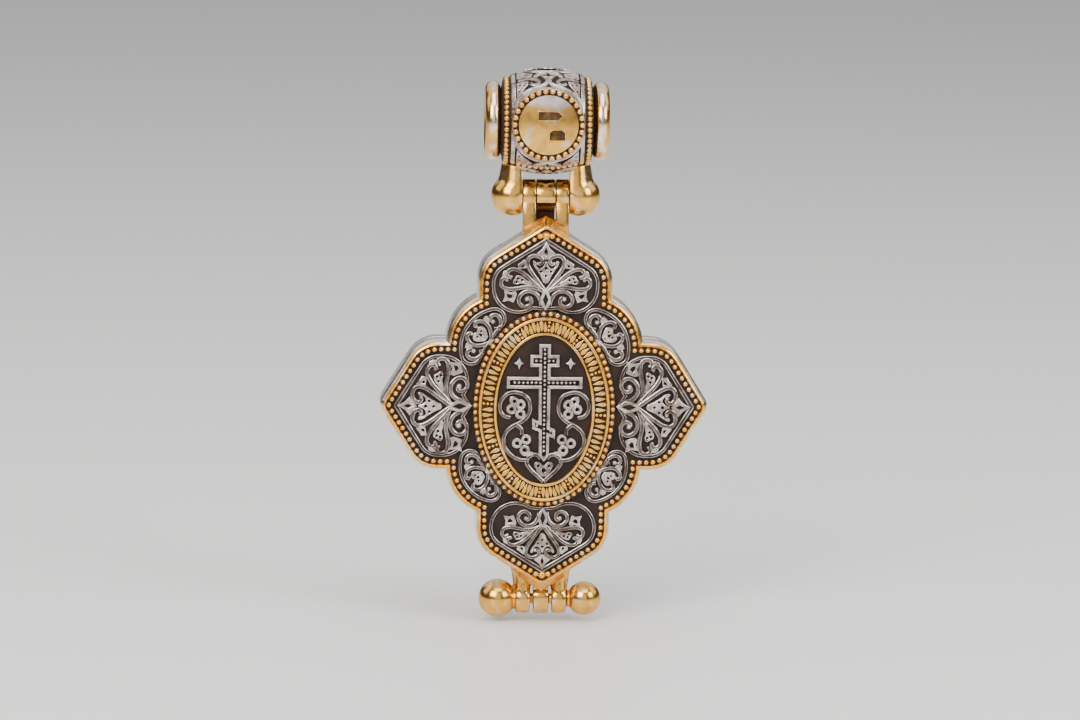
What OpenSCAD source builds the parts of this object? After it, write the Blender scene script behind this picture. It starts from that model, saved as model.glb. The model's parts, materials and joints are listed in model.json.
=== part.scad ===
// Encolpion cross: a lobed locket of two hinged leaves, hanging from a barrel bail.
// The origin is the middle of the bail's bore. The side with the cross faces -Y.

/* [Leaf outline] */
// Distance from the leaf's centre to the top and bottom points of the bead row
tip_tall = 20.4; // [20.2:0.1:20.8]
// Distance from the leaf's centre to the side points of the bead row
tip_wide = 18.2; // [17.9:0.1:18.6]
// Half width of the top and bottom lobes at the bead row
half_tall = 6.82; // [6.7:0.02:6.9]
// Half width of the side lobes at the bead row
half_wide = 6.6; // [6.5:0.02:6.7]
// Slope of the straight flanks of a pointed lobe, in degrees
flank = 32; // [31:1:33]
// Radius of a pointed lobe's shoulder at the bead row
shoulder_r = 3; // [2.9:0.1:3.1]
// Radius of a diagonal lobe at the bead row
corner_r = 5.37; // [5.3:0.01:5.42]
// Centre of a diagonal lobe, across
corner_x = 5.15; // [5.1:0.01:5.2]
// Centre of a diagonal lobe, up
corner_y = 6.85; // [6.8:0.01:6.9]
// Rounding of the points at the bead row
tip_round = 0.35; // [0.3:0.01:0.4]

/* [Leaf section] */
// How far the side wall stands outside the bead row
wall_out = 1.1; // [1:0.05:1.2]
// How far the side wall's inner face lies inside the bead row
wall_in = 0.3; // [0.2:0.05:0.4]
// Depth of one leaf's side wall
wall_depth = 2.25; // [2.2:0.05:2.3]
// Half of the gap between the two closed leaves
parting = 0.05; // [0.04:0.01:0.08]
// How far the gilt rim stands outside the bead row
rim_out = 0.8; // [0.75:0.05:0.85]
// Height of the rim over the parting plane
rim_top = 3.25; // [3.2:0.05:3.3]
// Height of the sunk field round the panels
field_top = 3.05; // [3:0.01:3.08]
// Diameter of the beads in the bead rows
bead_d = 0.58; // [0.54:0.02:0.6]
// Height of the relief over its ground
relief_h = 0.3; // [0.25:0.05:0.35]
// Width of the relief's ribbons
ribbon_w = 0.34; // [0.3:0.02:0.36]
// Height of the panels' pads over the parting plane
pad_top = 3.25; // [3.2:0.05:3.3]

/* [Medallion] */
// Half width of the oval row of beads
oval_a = 8.04; // [7.9:0.02:8.1]
// Half height of the oval row of beads
oval_b = 11.24; // [11.1:0.02:11.3]
// How far the medallion's centre lies below the leaf's centre
oval_drop = 0.3; // [0.26:0.02:0.32]
// Height of the medallion's gilt rims over the parting plane
oval_top = 4.2; // [4.1:0.05:4.3]
// Height of the gilt band's floor over the parting plane
band_floor = 3.85; // [3.8:0.05:3.9]
// Number of motifs round the gilt band
band_motifs = 56; // [48:4:60]

/* [Bail] */
// Radius of the barrel at its middle
barrel_r = 6.2; // [6.1:0.05:6.3]
// Radius of the barrel at its bead rows
barrel_end_r = 5.35; // [5.3:0.05:5.4]
// Half length of the crowned part of the barrel
barrel_half = 5.2; // [5.1:0.05:5.3]
// Radius of the bore for the cord or chain
bore_r = 2.7; // [2.6:0.05:2.75]
// Distance from the middle to an end ring
ring_x = 6.3; // [6.25:0.05:6.4]
// Radius of a ring's wire
ring_wire = 0.92; // [0.88:0.02:0.94]
// Radius of the disc on the front
disc_r = 3.4; // [3.3:0.05:3.5]
// Distance from the bore's axis to the flat seat under the disc
boss_top = 5.9; // [5.85:0.05:5.95]
// Radius of the necks that carry the ball knobs
neck_r = 1.5; // [1.4:0.05:1.6]

/* [Hinge] */
// Distance from the bore down to the hinge pin
pin_drop = 8.75; // [8.7:0.05:8.9]
// Distance from the hinge pin down to the leaf's centre
pin_above = 24.45; // [24.4:0.05:24.6]
// Radius of both pins
pin_r = 0.6; // [0.55:0.05:0.6]
// Radius of the knuckles
knuckle_r = 1.95; // [1.9:0.05:1.95]
// Half width of the middle knuckle
knuckle_half = 1.1; // [1.05:0.05:1.1]
// Outer face of the lugs
lug_out = 2.7; // [2.65:0.05:2.7]
// Radius of the ball knobs on the bail
knob_r = 2.47; // [2.4:0.01:2.5]
// Distance from the middle to the centre of a ball knob
knob_x = 3.93; // [3.9:0.01:4]

/* [Clasp] */
// Distance from the leaf's centre down to the clasp pin
clasp_below = 23.5; // [23.45:0.05:23.6]
// Radius of the lower lugs and knuckle
clasp_r = 1.76; // [1.7:0.01:1.78]
// Half width of the lower middle knuckle
hook_half = 1.02; // [1:0.01:1.05]
// Inner face of the lower lugs
clasp_lug_in = 1.25; // [1.2:0.05:1.3]
// Outer face of the lower lugs
clasp_lug_out = 3; // [2.95:0.05:3.05]
// Radius of the ball soldered to the left lug
left_ball_r = 2.25; // [2.2:0.05:2.3]
// Radius of the ball that heads the clasp pin
right_ball_r = 2; // [1.9:0.05:2.05]
// Distance from the middle to the centre of that ball
right_ball_x = 5.15; // [5.1:0.05:5.3]

/* [Hidden] */
gilt = [0.83, 0.66, 0.36];
silver = [0.78, 0.74, 0.74];
dark = [0.45, 0.41, 0.4];
centre_drop = pin_drop + pin_above;
clasp_drop = centre_drop + clasp_below;
// Steps along a rounded shoulder, and round the oval
arc_steps = 8;
oval_steps = 96;
// Gap between two seated pieces, running room of a pin, and a size beyond the whole part
seat = 0.05;
running = 0.05;
cut = 20;
// How far a raised band starts below the surface it stands on
sunk = 0.2;
// Bevel of the side wall and of the gilt rim, and the channel inside the rim
wall_bevel = 0.15;
wall_bevel_depth = 0.5;
rim_bevel = 0.07;
rim_bevel_depth = 0.12;
channel = 0.38;
// Panels: distance from the bead row, radius of the bulges at the foot, where they end
inset = 0.65;
bulge_r = 3;
foot_angle = -125;
border_out = 0.1;
border_in = 0.24;
palmette_length = 8.5;
// Diagonal panels: turn, place and size of the end scrolls, size of the lower two
corner_turn = 33;
corner_reach = corner_r - inset;
scroll_at = 3.5;
scroll_angle = 45;
scroll_r = corner_reach - 0.05 - scroll_at;
low_fit = 0.92;
// The medallion's rims, as distances outside its bead row
base_out = 0.32;
rim_in = -0.36;
band_out = -0.7;
band_in = -2.12;
well_out = -2.5;
band_mid = (band_out + band_in) / 2;
// Lugs of the hinge: inner face, stem down to the wall, thinning, web above the leaf's point
lug_in = knuckle_half + 0.1;
stem_reach = 3.8;
stem_thin = 0.1;
web_top = -knuckle_r - 0.15;
// Lower knuckle: depth, stem and room round the pin
hook_deep = 1.25;
hook_stem = 2.7;
hook_room = 0.12;
// Lower lugs: stem, straight part of the stem, flare where it meets the wall
clasp_stem = 3.4;
clasp_straight = 1.6;
clasp_flare = 0.9;
clasp_collar_r = 1;
// Barrel: end faces against the rings, seat of the disc, bead rows, flat faces of the knobs
barrel_end = ring_x - ring_wire - seat;
ring_seat_r = 4.1;
ring_major = bore_r + seat + ring_wire;
boss_r = disc_r + 0.85;
boss_row_r = disc_r + 0.5;
row_x = 4.8;
row_lift = 0.08;
knob_face = lug_out + 0.1;
knob_bore_end = 1.4;
crown_rise = barrel_r - barrel_end_r;
crown_r = (barrel_half * barrel_half + crown_rise * crown_rise) / (2 * crown_rise);
// Strapwork of the barrel: half width, line width, height
strap_half = 4.3;
strap_w = 0.3;
strap_h = 0.2;
// Three-bar cross: line width, slope of the lowest bar
cross_line = 0.33;
cross_gap = 0.22;
foot_slope = -18;

// Outline of a leaf

function arc(cx, cy, r, a0, a1, n) =
    [for (i = [0:n]) let (a = a0 + (a1 - a0) * i / n) [cx + r * cos(a), cy + r * sin(a)]];

function shoulder_y(tip, half) =
    tip - (shoulder_r + (half - shoulder_r) * sin(flank)) / cos(flank);

// Right half of a pointed lobe, from its point to the end of its shoulder, d outside the bead row
function lobe_half(tip, half, d) = concat(
    tip_round + d > 0.02
        ? arc(0, tip - tip_round / cos(flank), tip_round + d, 90, 90 - flank, 3)
        : [[0, tip + d / cos(flank)]],
    arc(half - shoulder_r, shoulder_y(tip, half), shoulder_r + d, 90 - flank, 0, arc_steps)
);

function corner_start(d) = acos((half_tall + d - corner_x) / (corner_r + d));
function corner_end(d) = asin((half_wide + d - corner_y) / (corner_r + d));

function swap(p) = [for (i = [len(p) - 1:-1:0]) [p[i][1], p[i][0]]];
function turned(p, sx, sy) = [for (q = p) [q[0] * sx, q[1] * sy]];
function backwards(p) = [for (i = [len(p) - 1:-1:0]) p[i]];
function no_last(p) = [for (i = [0:len(p) - 2]) p[i]];

function quarter(d) = concat(
    lobe_half(tip_tall, half_tall, d),
    arc(corner_x, corner_y, corner_r + d, corner_start(d), corner_end(d), 2 * arc_steps),
    swap(lobe_half(tip_wide, half_wide, d))
);

function leaf_outline(d) = let (q = quarter(d)) concat(
    no_last(q), no_last(backwards(turned(q, 1, -1))),
    no_last(turned(q, -1, -1)), no_last(backwards(turned(q, -1, 1)))
);

module leaf_shape(d) {
    polygon(leaf_outline(d));
}

module leaf_ring(d_out, d_in) {
    difference() {
        leaf_shape(d_out);
        leaf_shape(d_in);
    }
}

// Stands what is drawn flat on the front leaf: right is +X, up is +Z, height is -Y
module on_front() {
    translate([0, 0, -centre_drop]) rotate([90, 0, 0]) children();
}

module on_back() {
    mirror([0, 1, 0]) on_front() children();
}

module slab(from, to) {
    translate([0, 0, from]) linear_extrude(to - from) children();
}

// Relief: ribbons and leaves drawn flat

function between(a, b, c, d, t) =
    0.5 * (2 * b + (c - a) * t + (2 * a - 5 * b + 4 * c - d) * t * t
        + (3 * b - a - 3 * c + d) * t * t * t);

// A smooth line through the points p, with n steps between two of them
function smooth(p, n) = let (last = len(p) - 1) concat(
    [for (i = [0:last - 1]) for (k = [0:n - 1])
        between(p[max(i - 1, 0)], p[i], p[i + 1], p[min(i + 2, last)], k / n)],
    [p[last]]
);

function side(p, i) = let (
    t = p[min(i + 1, len(p) - 1)] - p[max(i - 1, 0)]
) [-t[1], t[0]] / norm(t);

// The closed outline of a ribbon of width w along the points p
function band(p, w) = concat(
    [for (i = [0:len(p) - 1]) p[i] + side(p, i) * w / 2],
    [for (i = [len(p) - 1:-1:0]) p[i] - side(p, i) * w / 2]
);

module ribbon(p) {
    polygon(band(smooth(p, 2), ribbon_w));
}

// Joins overlapping ribbons and leaves into one outline
module joined() {
    offset(delta = 0.01) union() children();
}

module both_sides() {
    children();
    mirror([1, 0]) children();
}

// Palmette of a pointed lobe, drawn for its right half, foot at 0, point near 8.5
heart_line = [[0.05, 2.0], [0.8, 3.05], [1.55, 4.05], [2.05, 5.0], [2.05, 5.8], [1.5, 6.45],
    [0.75, 6.35], [0.1, 5.75]];
upper_line = [[1.6, 4.1], [2.35, 5.05], [3.3, 5.4], [4.2, 5.1], [4.75, 4.5], [4.55, 4.0]];
lower_line = [[0.35, 1.95], [1.5, 2.7], [2.9, 2.75], [4.2, 2.6], [5.15, 2.8], [5.35, 3.5], [4.8, 3.95]];
foot_spiral = [[0.5, 1.6], [1.15, 2.1], [2.1, 2.25], [2.85, 1.75], [2.8, 1.05], [2.2, 0.75],
    [1.7, 1.15], [1.9, 1.6]];
middle_leaf = [[0, 5.7], [0.5, 5.4], [0.95, 5.4], [1.35, 5.75], [1.5, 5.25], [1.25, 4.7],
    [0.9, 4.1], [0.45, 3.55], [0, 3.2]];
side_leaf = [[1.6, 3.25], [2.4, 4.0], [3.1, 4.5], [3.6, 4.4], [3.75, 3.95], [4.2, 3.6],
    [3.9, 3.2], [3.0, 3.1]];
low_leaf = [[3.1, 1.8], [3.6, 2.25], [4.95, 2.35], [4.6, 1.75], [4.85, 1.15], [3.5, 1.2]];
finial = [[0, 7.75], [0.6, 6.9], [0.25, 6.3], [0, 6.1]];
foot = [[0, 0.1], [0.75, 0.95], [0.5, 1.9], [0, 2.5]];
leaf_holes = [[0.7, 4.75, 0.13], [3.5, 3.85, 0.13], [2.9, 4.0, 0.13], [2.6, 3.55, 0.13]];
middle_holes = [[0, 5.1, 0.15], [0, 4.2, 0.13]];

module holes(list) {
    for (h = list) translate([h[0], h[1]]) circle(r = h[2], $fn = 8);
}

module diamond(x, y, half_w, half_h) {
    polygon([[x - half_w, y], [x, y - half_h], [x + half_w, y], [x, y + half_h]]);
}

module palmette() {
    difference() {
        union() {
            both_sides() {
                ribbon(heart_line);
                ribbon(upper_line);
                ribbon(lower_line);
                ribbon(foot_spiral);
                polygon(middle_leaf);
                polygon(side_leaf);
                polygon(low_leaf);
                polygon(finial);
                polygon(foot);
            }
            diamond(0, 4.6, 0.4, 1);
        }
        both_sides() holes(leaf_holes);
        holes(middle_holes);
        both_sides() diamond(4.0, 1.75, 0.4, 0.25);
        diamond(0, 6.95, 0.2, 0.42);
        diamond(0, 1.3, 0.3, 0.75);
    }
}

// Panels of the pointed lobes: point, half width, centre of the bulges at the foot, foot, turn
panels = [
    [tip_tall, half_tall, 14, 11.4, 0],
    [tip_wide, half_wide, 11.9, 8.6, -90],
    [tip_tall, half_tall, 14.4, 12.1, 180],
    [tip_wide, half_wide, 11.9, 8.6, 90]
];

function panel_half(p, d) = concat(
    lobe_half(p[0], p[1], d - inset),
    arc(p[1] - inset - bulge_r, p[2], bulge_r + d, 0, foot_angle, 2 * arc_steps),
    [[0, p[3] - d]]
);

function panel_outline(p, d) = let (h = panel_half(p, d)) concat(
    no_last(h), no_last(backwards(turned(h, -1, 1)))
);

module panel_relief(p) {
    fit = (p[0] - (inset - border_out) / cos(flank) - p[3]) / palmette_length;
    difference() {
        polygon(panel_outline(p, border_out));
        polygon(panel_outline(p, -border_in));
    }
    translate([0, p[3]]) scale([fit, fit]) palmette();
}

// Panels of the diagonal lobes, drawn with outwards to the right
corner_border = concat(
    arc(scroll_at * cos(scroll_angle), -scroll_at * sin(scroll_angle), scroll_r, -240, -50, 8),
    arc(0, 0, scroll_at + scroll_r, -40, 40, 10),
    arc(scroll_at * cos(scroll_angle), scroll_at * sin(scroll_angle), scroll_r, 50, 240, 8)
);
corner_scroll = [[1.5, 0], [1.55, 0.9], [1.5, 1.9], [1.95, 2.75], [2.65, 2.85], [2.9, 2.3], [2.5, 2.0]];
corner_heart = [[1.5, 0], [2.1, 0.85], [2.9, 1.3], [3.7, 1.25], [4.0, 0.75], [3.7, 0.4]];
corner_leaf = [[2.0, 0], [2.5, 0.6], [3.2, 0.85], [3.5, 0.45], [3.3, 0]];
corner_holes = [[2.45, 0, 0.12], [2.95, 0.35, 0.12]];

// Puts what is drawn round a diagonal lobe's centre in its place, made smaller towards the rim
module in_corner(fit) {
    translate([corner_x, corner_y]) rotate(corner_turn)
        translate([corner_reach * (1 - fit), 0]) scale([fit, fit]) children();
}

module corner_relief() {
    difference() {
        union() {
            polygon(band(corner_border, ribbon_w));
            for (s = [0, 1]) mirror([0, s]) {
                ribbon(corner_scroll);
                ribbon(corner_heart);
                polygon(corner_leaf);
            }
        }
        for (s = [0, 1]) mirror([0, s]) holes(corner_holes);
    }
}

module corner_pad() {
    polygon(concat(corner_border, [corner_scroll[0]]));
}

// The lower two are smaller, because the medallion lies below the leaf's centre
module corners() {
    both_sides() {
        in_corner(1) children();
        mirror([0, 1]) in_corner(low_fit) children();
    }
}

// Side wall of a leaf, open front and back

module leaf_wall() {
    slab(parting, wall_depth - wall_bevel_depth) leaf_ring(wall_out, -wall_in);
    slab(wall_depth - wall_bevel_depth, wall_depth) leaf_ring(wall_out - wall_bevel, -wall_in);
}

// A bar along X with the outline of its children in the Y and Z plane
module along_x(from, to) {
    translate([from, 0, 0]) rotate([90, 0, 90]) linear_extrude(to - from) children();
}

// Side view of an upper knuckle, with its stem on the side s of the parting plane
module knuckle_side(s) {
    circle(r = knuckle_r, $fn = 48);
    near = s * parting;
    far = s * (knuckle_r - stem_thin);
    polygon([[near, 0], [far, 0], [far, -stem_reach], [near, -stem_reach]]);
}

module rod(r, from, to) {
    translate([from, 0, 0]) rotate([0, 90, 0]) cylinder(r = r, h = to - from, $fn = 48);
}

module left_and_right() {
    for (s = [0, 1]) mirror([s, 0, 0]) children();
}

// Upper lugs and the web that joins them above the leaf's point
module front_lugs() {
    difference() {
        union() {
            left_and_right() along_x(lug_in, lug_out) knuckle_side(-1);
            translate([-lug_out, -knuckle_r + stem_thin, -stem_reach])
                cube([2 * lug_out, knuckle_r - stem_thin - parting, stem_reach + web_top]);
        }
        rod(pin_r + running, -cut, cut);
    }
}

// Lower knuckle, open at the back where the clasp pin swings out
module front_hook() {
    room = pin_r + hook_room;
    difference() {
        union() {
            along_x(-hook_half, hook_half) circle(r = clasp_r, $fn = 48);
            translate([-hook_half, -hook_deep, 0]) cube([2 * hook_half, hook_deep - parting, hook_stem]);
        }
        rod(room, -cut, cut);
        translate([-cut, 0, -room]) cube([2 * cut, cut, 2 * room]);
    }
}

module front_frame() {
    color(silver) {
        on_front() leaf_wall();
        translate([0, 0, -pin_drop]) front_lugs();
        translate([0, 0, -clasp_drop]) front_hook();
    }
}

// Lower lug, flared where it meets the wall
module clasp_lug() {
    along_x(clasp_lug_in, clasp_lug_out) circle(r = clasp_r, $fn = 48);
    translate([0, clasp_r - stem_thin, 0]) rotate([90, 0, 0])
        linear_extrude(clasp_r - stem_thin - parting)
            polygon([[clasp_lug_in, 0], [clasp_lug_out, 0], [clasp_lug_out, clasp_straight],
                [clasp_lug_out + clasp_flare, clasp_stem], [clasp_lug_in, clasp_stem]]);
}

module back_frame() {
    ball_sunk = 0.15;
    color(silver) {
        on_back() leaf_wall();
        translate([0, 0, -pin_drop]) difference() {
            along_x(-knuckle_half, knuckle_half) knuckle_side(1);
            rod(pin_r + running, -cut, cut);
        }
        translate([0, 0, -clasp_drop]) difference() {
            union() {
                left_and_right() clasp_lug();
                translate([-clasp_lug_out - left_ball_r + ball_sunk, 0, 0]) sphere(r = left_ball_r, $fn = 48);
            }
            rod(pin_r + running, -clasp_lug_out - ball_sunk, cut);
        }
    }
}

// Gilt rim, bead row and field
module plate_ground() {
    slab(wall_depth + seat, field_top) leaf_shape(rim_out);
    slab(field_top - sunk, rim_top - rim_bevel_depth) leaf_ring(rim_out - rim_bevel, channel);
    slab(rim_top - sunk - rim_bevel_depth, rim_top)
        leaf_ring(rim_out - 3 * rim_bevel, channel + rim_bevel);
    slab(field_top - sunk, field_top + bead_d / 2) leaf_ring(bead_d / 2, -bead_d / 2);
}

module pads() {
    slab(field_top - sunk, pad_top)
        for (p = panels) rotate(p[4]) polygon(panel_outline(p, border_out + seat));
}

module front_plate() {
    color(gilt) on_front() {
        plate_ground();
        pads();
        slab(pad_top - sunk / 2, pad_top + relief_h) joined()
            for (p = panels) rotate(p[4]) panel_relief(p);
        slab(field_top - sunk, field_top + relief_h + sunk / 2) joined() corners() corner_relief();
    }
}

module back_plate() {
    color(gilt) on_back() {
        plate_ground();
        pads();
        slab(field_top - sunk, pad_top) joined() corners() corner_pad();
    }
}

// Oval medallion

module oval(d) {
    polygon([for (i = [0:oval_steps - 1]) let (a = 360 * i / oval_steps)
        [(oval_a + d) * cos(a), (oval_b + d) * sin(a)]]);
}

module oval_ring(d_out, d_in) {
    difference() {
        oval(d_out);
        oval(d_in);
    }
}

module medallion_ground() {
    base_top = field_top + 0.45;
    rim_w = rim_in - band_out;
    translate([0, -oval_drop]) {
        slab(field_top + seat, base_top) oval(base_out);
        slab(base_top - sunk, base_top + bead_d / 2) oval_ring(bead_d / 2, -bead_d / 2);
        slab(base_top - sunk, band_floor) oval(rim_in);
        slab(band_floor - sunk, oval_top) oval_ring(band_out + 0.9 * rim_w, band_out);
        slab(band_floor - sunk, oval_top + rim_bevel) oval_ring(band_in, well_out);
    }
}

// Motifs of the gilt band: a bar and a lozenge in turn
module band_relief() {
    long = 1;
    wide = 0.22;
    for (i = [0:band_motifs - 1]) {
        a = 360 * i / band_motifs;
        at = [(oval_a + band_mid) * cos(a), (oval_b + band_mid) * sin(a)];
        out = atan2(at[1] / (oval_b * oval_b), at[0] / (oval_a * oval_a));
        translate(at) rotate(out) {
            if (i % 2 == 0) square([long, wide], center = true);
            else diamond(0, 0, long / 2, wide);
        }
    }
}

// Three-bar cross, as [x, y, half width, height] of each bar; the post ends in a point
post = [0, 1.07, 0.7, 13.3];
top_bar = [0, 5.78, 1.68, 1.34];
main_bar = [0, 3.2, 4.4, 1.32];
foot_bar = [0, -2.25, 1.35, 1.2];
post_taper = 0.1;
post_point = 0.5;

module bars(grow) {
    for (b = [top_bar, main_bar]) translate([b[0], b[1]]) bar(b, grow);
    translate([foot_bar[0], foot_bar[1]]) rotate(foot_slope) bar(foot_bar, grow);
    wide = post[2] + grow;
    high = post[3] / 2 + grow;
    translate([post[0], post[1]]) polygon([[-wide, high], [wide, high], [wide - post_taper, -high],
        [0, -high - post_point], [post_taper - wide, -high]]);
}

module bar(b, grow) {
    square([2 * (b[2] + grow), b[3] + 2 * grow], center = true);
}

vine = [[3.95, -0.95], [4.8, -0.65], [5.2, 0.35], [4.85, 1.4], [4.0, 2.0], [3.0, 2.0],
    [2.05, 1.5], [1.65, 0.45], [1.9, -0.65], [2.7, -1.45], [3.75, -2.0], [4.55, -2.85],
    [4.65, -3.95], [4.1, -4.95], [3.2, -5.6], [2.0, -5.8]];
vine_branch = [[3.3, -1.75], [2.65, -2.3], [2.6, -2.95]];
berries = [[3.35, 0.75], [4.1, 0.05], [2.9, -0.2], [3.45, -3.25], [1.9, -3.2], [2.8, -4.05]];
heart_base = [[0.1, -5.55], [0.8, -5.25], [1.6, -5.45], [2.0, -6.1], [1.5, -7.0], [0, -8.35]];
small_heart = [[0, -6.5], [0.5, -6.1], [1.1, -6.2], [1.0, -6.8], [0, -7.6]];
star_at = [3.0, 5.5];
star = [[0, 0.75], [0.2, 0.2], [0.6, 0], [0.2, -0.2], [0, -0.75]];

module berry() {
    difference() {
        circle(r = 0.58, $fn = 12);
        circle(r = 0.22, $fn = 8);
    }
}

module well_relief() {
    difference() {
        bars(0);
        bars(-cross_line);
    }
    bars(-cross_line - cross_gap);
    both_sides() {
        ribbon(vine);
        ribbon(vine_branch);
        for (at = berries) translate(at) berry();
        polygon(band(heart_base, ribbon_w));
        polygon(small_heart);
        translate(star_at) both_sides() polygon(star);
    }
}

module front_medallion() {
    color(dark) on_front() {
        medallion_ground();
        translate([0, -oval_drop]) {
            slab(band_floor - sunk / 2, band_floor + relief_h - 0.05) joined() band_relief();
            slab(band_floor - sunk / 2, band_floor + relief_h + 0.1) joined() well_relief();
        }
    }
}

module back_medallion() {
    color(gilt) on_back() medallion_ground();
}

// Bail

// The crowned wall from -half to half, as points of radius and place along the bore
function crown(half, grow) = [for (i = [-5:5]) let (x = half * i / 5)
    [barrel_r - crown_r + grow + sqrt(crown_r * crown_r - x * x), x]];

module barrel_profile() {
    polygon(concat(
        [[bore_r, -barrel_end], [ring_seat_r, -barrel_end], [ring_seat_r, -barrel_half]],
        crown(barrel_half, 0),
        [[ring_seat_r, barrel_half], [ring_seat_r, barrel_end], [bore_r, barrel_end]]
    ));
}

// Strapwork round the disc, drawn flat as seen from the front
cusp = [[0, 4.5], [0.7, 4.55], [0, 5.35]];
leaf_spray = [[3.9, 3.2], [3.75, 4.6], [2.9, 5.3], [1.5, 5.45], [1.9, 5.0], [2.7, 4.9], [3.1, 4.2]];
low_heart = [[0, -5.6], [0.75, -4.95], [0.45, -4.65], [0, -4.85]];

module strapwork() {
    intersection() {
        difference() {
            circle(r = boss_r + strap_w, $fn = 48);
            circle(r = boss_r - 0.1, $fn = 48);
        }
        square([2 * strap_half, 4 * strap_half], center = true);
    }
    both_sides() {
        translate([strap_half - strap_w, -barrel_half]) square([strap_w, 2 * barrel_half]);
        polygon(cusp);
        polygon(low_heart);
        for (s = [0, 1]) mirror([0, s]) polygon(leaf_spray);
    }
}

module barrel_relief() {
    half = row_x - sunk;
    intersection() {
        rotate([90, 0, 0]) slab(2, 8) joined() strapwork();
        rotate([0, 90, 0]) rotate_extrude($fn = 64)
            polygon(concat([[bore_r + 1, -half]], crown(half, strap_h), [[bore_r + 1, half]]));
    }
}

// A bead ridge round the axis Z
module bead_ridge(r) {
    rotate_extrude($fn = 64) translate([r, 0]) circle(r = bead_d / 2, $fn = 16);
}

// The barrel, flattened in front where the disc sits
module barrel_wall() {
    difference() {
        rotate([0, 90, 0]) rotate_extrude($fn = 64) barrel_profile();
        translate([0, -boss_top + 2 * sunk, 0]) rotate([90, 0, 0])
            cylinder(r = boss_r - 0.1, h = cut, $fn = 64);
    }
    translate([0, -boss_top, 0]) rotate([-90, 0, 0])
        cylinder(r = boss_r, h = boss_top - bore_r - sunk, $fn = 64);
    translate([0, -boss_top, 0]) rotate([90, 0, 0]) bead_ridge(boss_row_r);
    left_and_right() translate([row_x, 0, 0]) rotate([0, 90, 0])
        bead_ridge(crown(row_x, row_lift)[0][0]);
}

// Ball knob under one end of the barrel, cut flat towards the lugs
module knob() {
    neck_shift = 0.25;
    neck_to = 4.5;
    difference() {
        union() {
            translate([knob_x, 0, -pin_drop]) sphere(r = knob_r, $fn = 48);
            translate([knob_x + neck_shift, 0, -pin_drop])
                cylinder(r = neck_r, h = pin_drop - neck_to, $fn = 48);
        }
        translate([knob_face - cut, -cut / 2, -cut - barrel_end_r - seat]) cube(cut);
        translate([0, 0, -pin_drop]) rod(pin_r + seat, 0, knob_x + knob_bore_end);
    }
}

module bail_barrel() {
    color(dark) difference() {
        union() {
            barrel_wall();
            barrel_relief();
            mirror([0, 1, 0]) barrel_relief();
            left_and_right() knob();
        }
        rod(bore_r, -cut, cut);
    }
}

module bail_ring(x) {
    color(gilt) translate([x, 0, 0]) rotate([0, 90, 0]) rotate_extrude($fn = 64)
        translate([ring_major, 0]) circle(r = ring_wire, $fn = 32);
}

module bail_ring_left() {
    bail_ring(-ring_x);
}

module bail_ring_right() {
    bail_ring(ring_x);
}

// Disc with two sunk cartouches, drawn as seen from the front
disc_thick = 0.5;
disc_floor = 0.32;
upper_cartouche = [[-1.15, 0.45], [1, 0.45], [1.45, 0.95], [1, 1.45], [-1.15, 1.45]];
lower_cartouche = [[0, -1.7], [1.7, -1.7], [1.7, -0.6], [0, -0.6]];

module bail_disc() {
    color(gilt) translate([0, -boss_top - seat, 0]) rotate([90, 0, 0]) difference() {
        slab(0, disc_thick) circle(r = disc_r, $fn = 64);
        slab(disc_floor, disc_thick + 1) {
            polygon(upper_cartouche);
            polygon(lower_cartouche);
        }
    }
}

module hinge_pin() {
    half = knob_x + knob_bore_end - 2 * seat;
    color(gilt) translate([0, 0, -pin_drop]) rod(pin_r, -half, half);
}

module clasp_pin() {
    color(gilt) translate([0, 0, -clasp_drop]) {
        rod(pin_r, 2 * seat - clasp_lug_out, right_ball_x);
        rod(clasp_collar_r, clasp_lug_out + 2 * seat, right_ball_x);
        translate([right_ball_x, 0, 0]) sphere(r = right_ball_r, $fn = 48);
    }
}

bail_barrel();
bail_ring_left();
bail_ring_right();
bail_disc();
hinge_pin();
front_frame();
front_plate();
front_medallion();
back_frame();
back_plate();
back_medallion();
clasp_pin();
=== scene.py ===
"""Encolpion cross: a lobed silver-gilt locket on a barrel bail.

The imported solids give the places. This script dresses them in cast relief, bead rows, gilding and
darkened silver. Sizes in the classes are in millimetres. On a leaf, u runs to the right, v up from
the leaf's centre, and h stands out from the parting plane.
"""

from __future__ import annotations

import json
import logging
import math
from abc import ABC, abstractmethod
from dataclasses import dataclass, field
from enum import Enum
from typing import Callable, Iterable, Sequence

import bmesh
import bpy
from mathutils import Matrix, Vector

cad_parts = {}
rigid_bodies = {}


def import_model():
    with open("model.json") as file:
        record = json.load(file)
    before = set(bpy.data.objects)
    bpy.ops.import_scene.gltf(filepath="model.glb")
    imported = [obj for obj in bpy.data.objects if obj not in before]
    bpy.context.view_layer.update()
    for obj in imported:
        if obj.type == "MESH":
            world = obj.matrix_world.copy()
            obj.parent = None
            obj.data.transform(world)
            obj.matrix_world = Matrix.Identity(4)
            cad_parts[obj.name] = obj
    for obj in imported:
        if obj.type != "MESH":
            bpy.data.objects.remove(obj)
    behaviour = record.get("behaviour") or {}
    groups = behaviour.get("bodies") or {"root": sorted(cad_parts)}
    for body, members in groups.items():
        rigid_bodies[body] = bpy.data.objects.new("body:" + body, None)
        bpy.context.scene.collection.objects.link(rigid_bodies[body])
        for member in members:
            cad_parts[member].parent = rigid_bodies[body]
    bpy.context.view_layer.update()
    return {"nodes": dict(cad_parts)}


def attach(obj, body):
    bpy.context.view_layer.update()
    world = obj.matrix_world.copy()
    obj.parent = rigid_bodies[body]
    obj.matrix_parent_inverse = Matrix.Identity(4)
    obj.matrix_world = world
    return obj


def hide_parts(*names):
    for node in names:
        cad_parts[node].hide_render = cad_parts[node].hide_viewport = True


LOG = logging.getLogger("encolpion")
MM = 0.001
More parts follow.
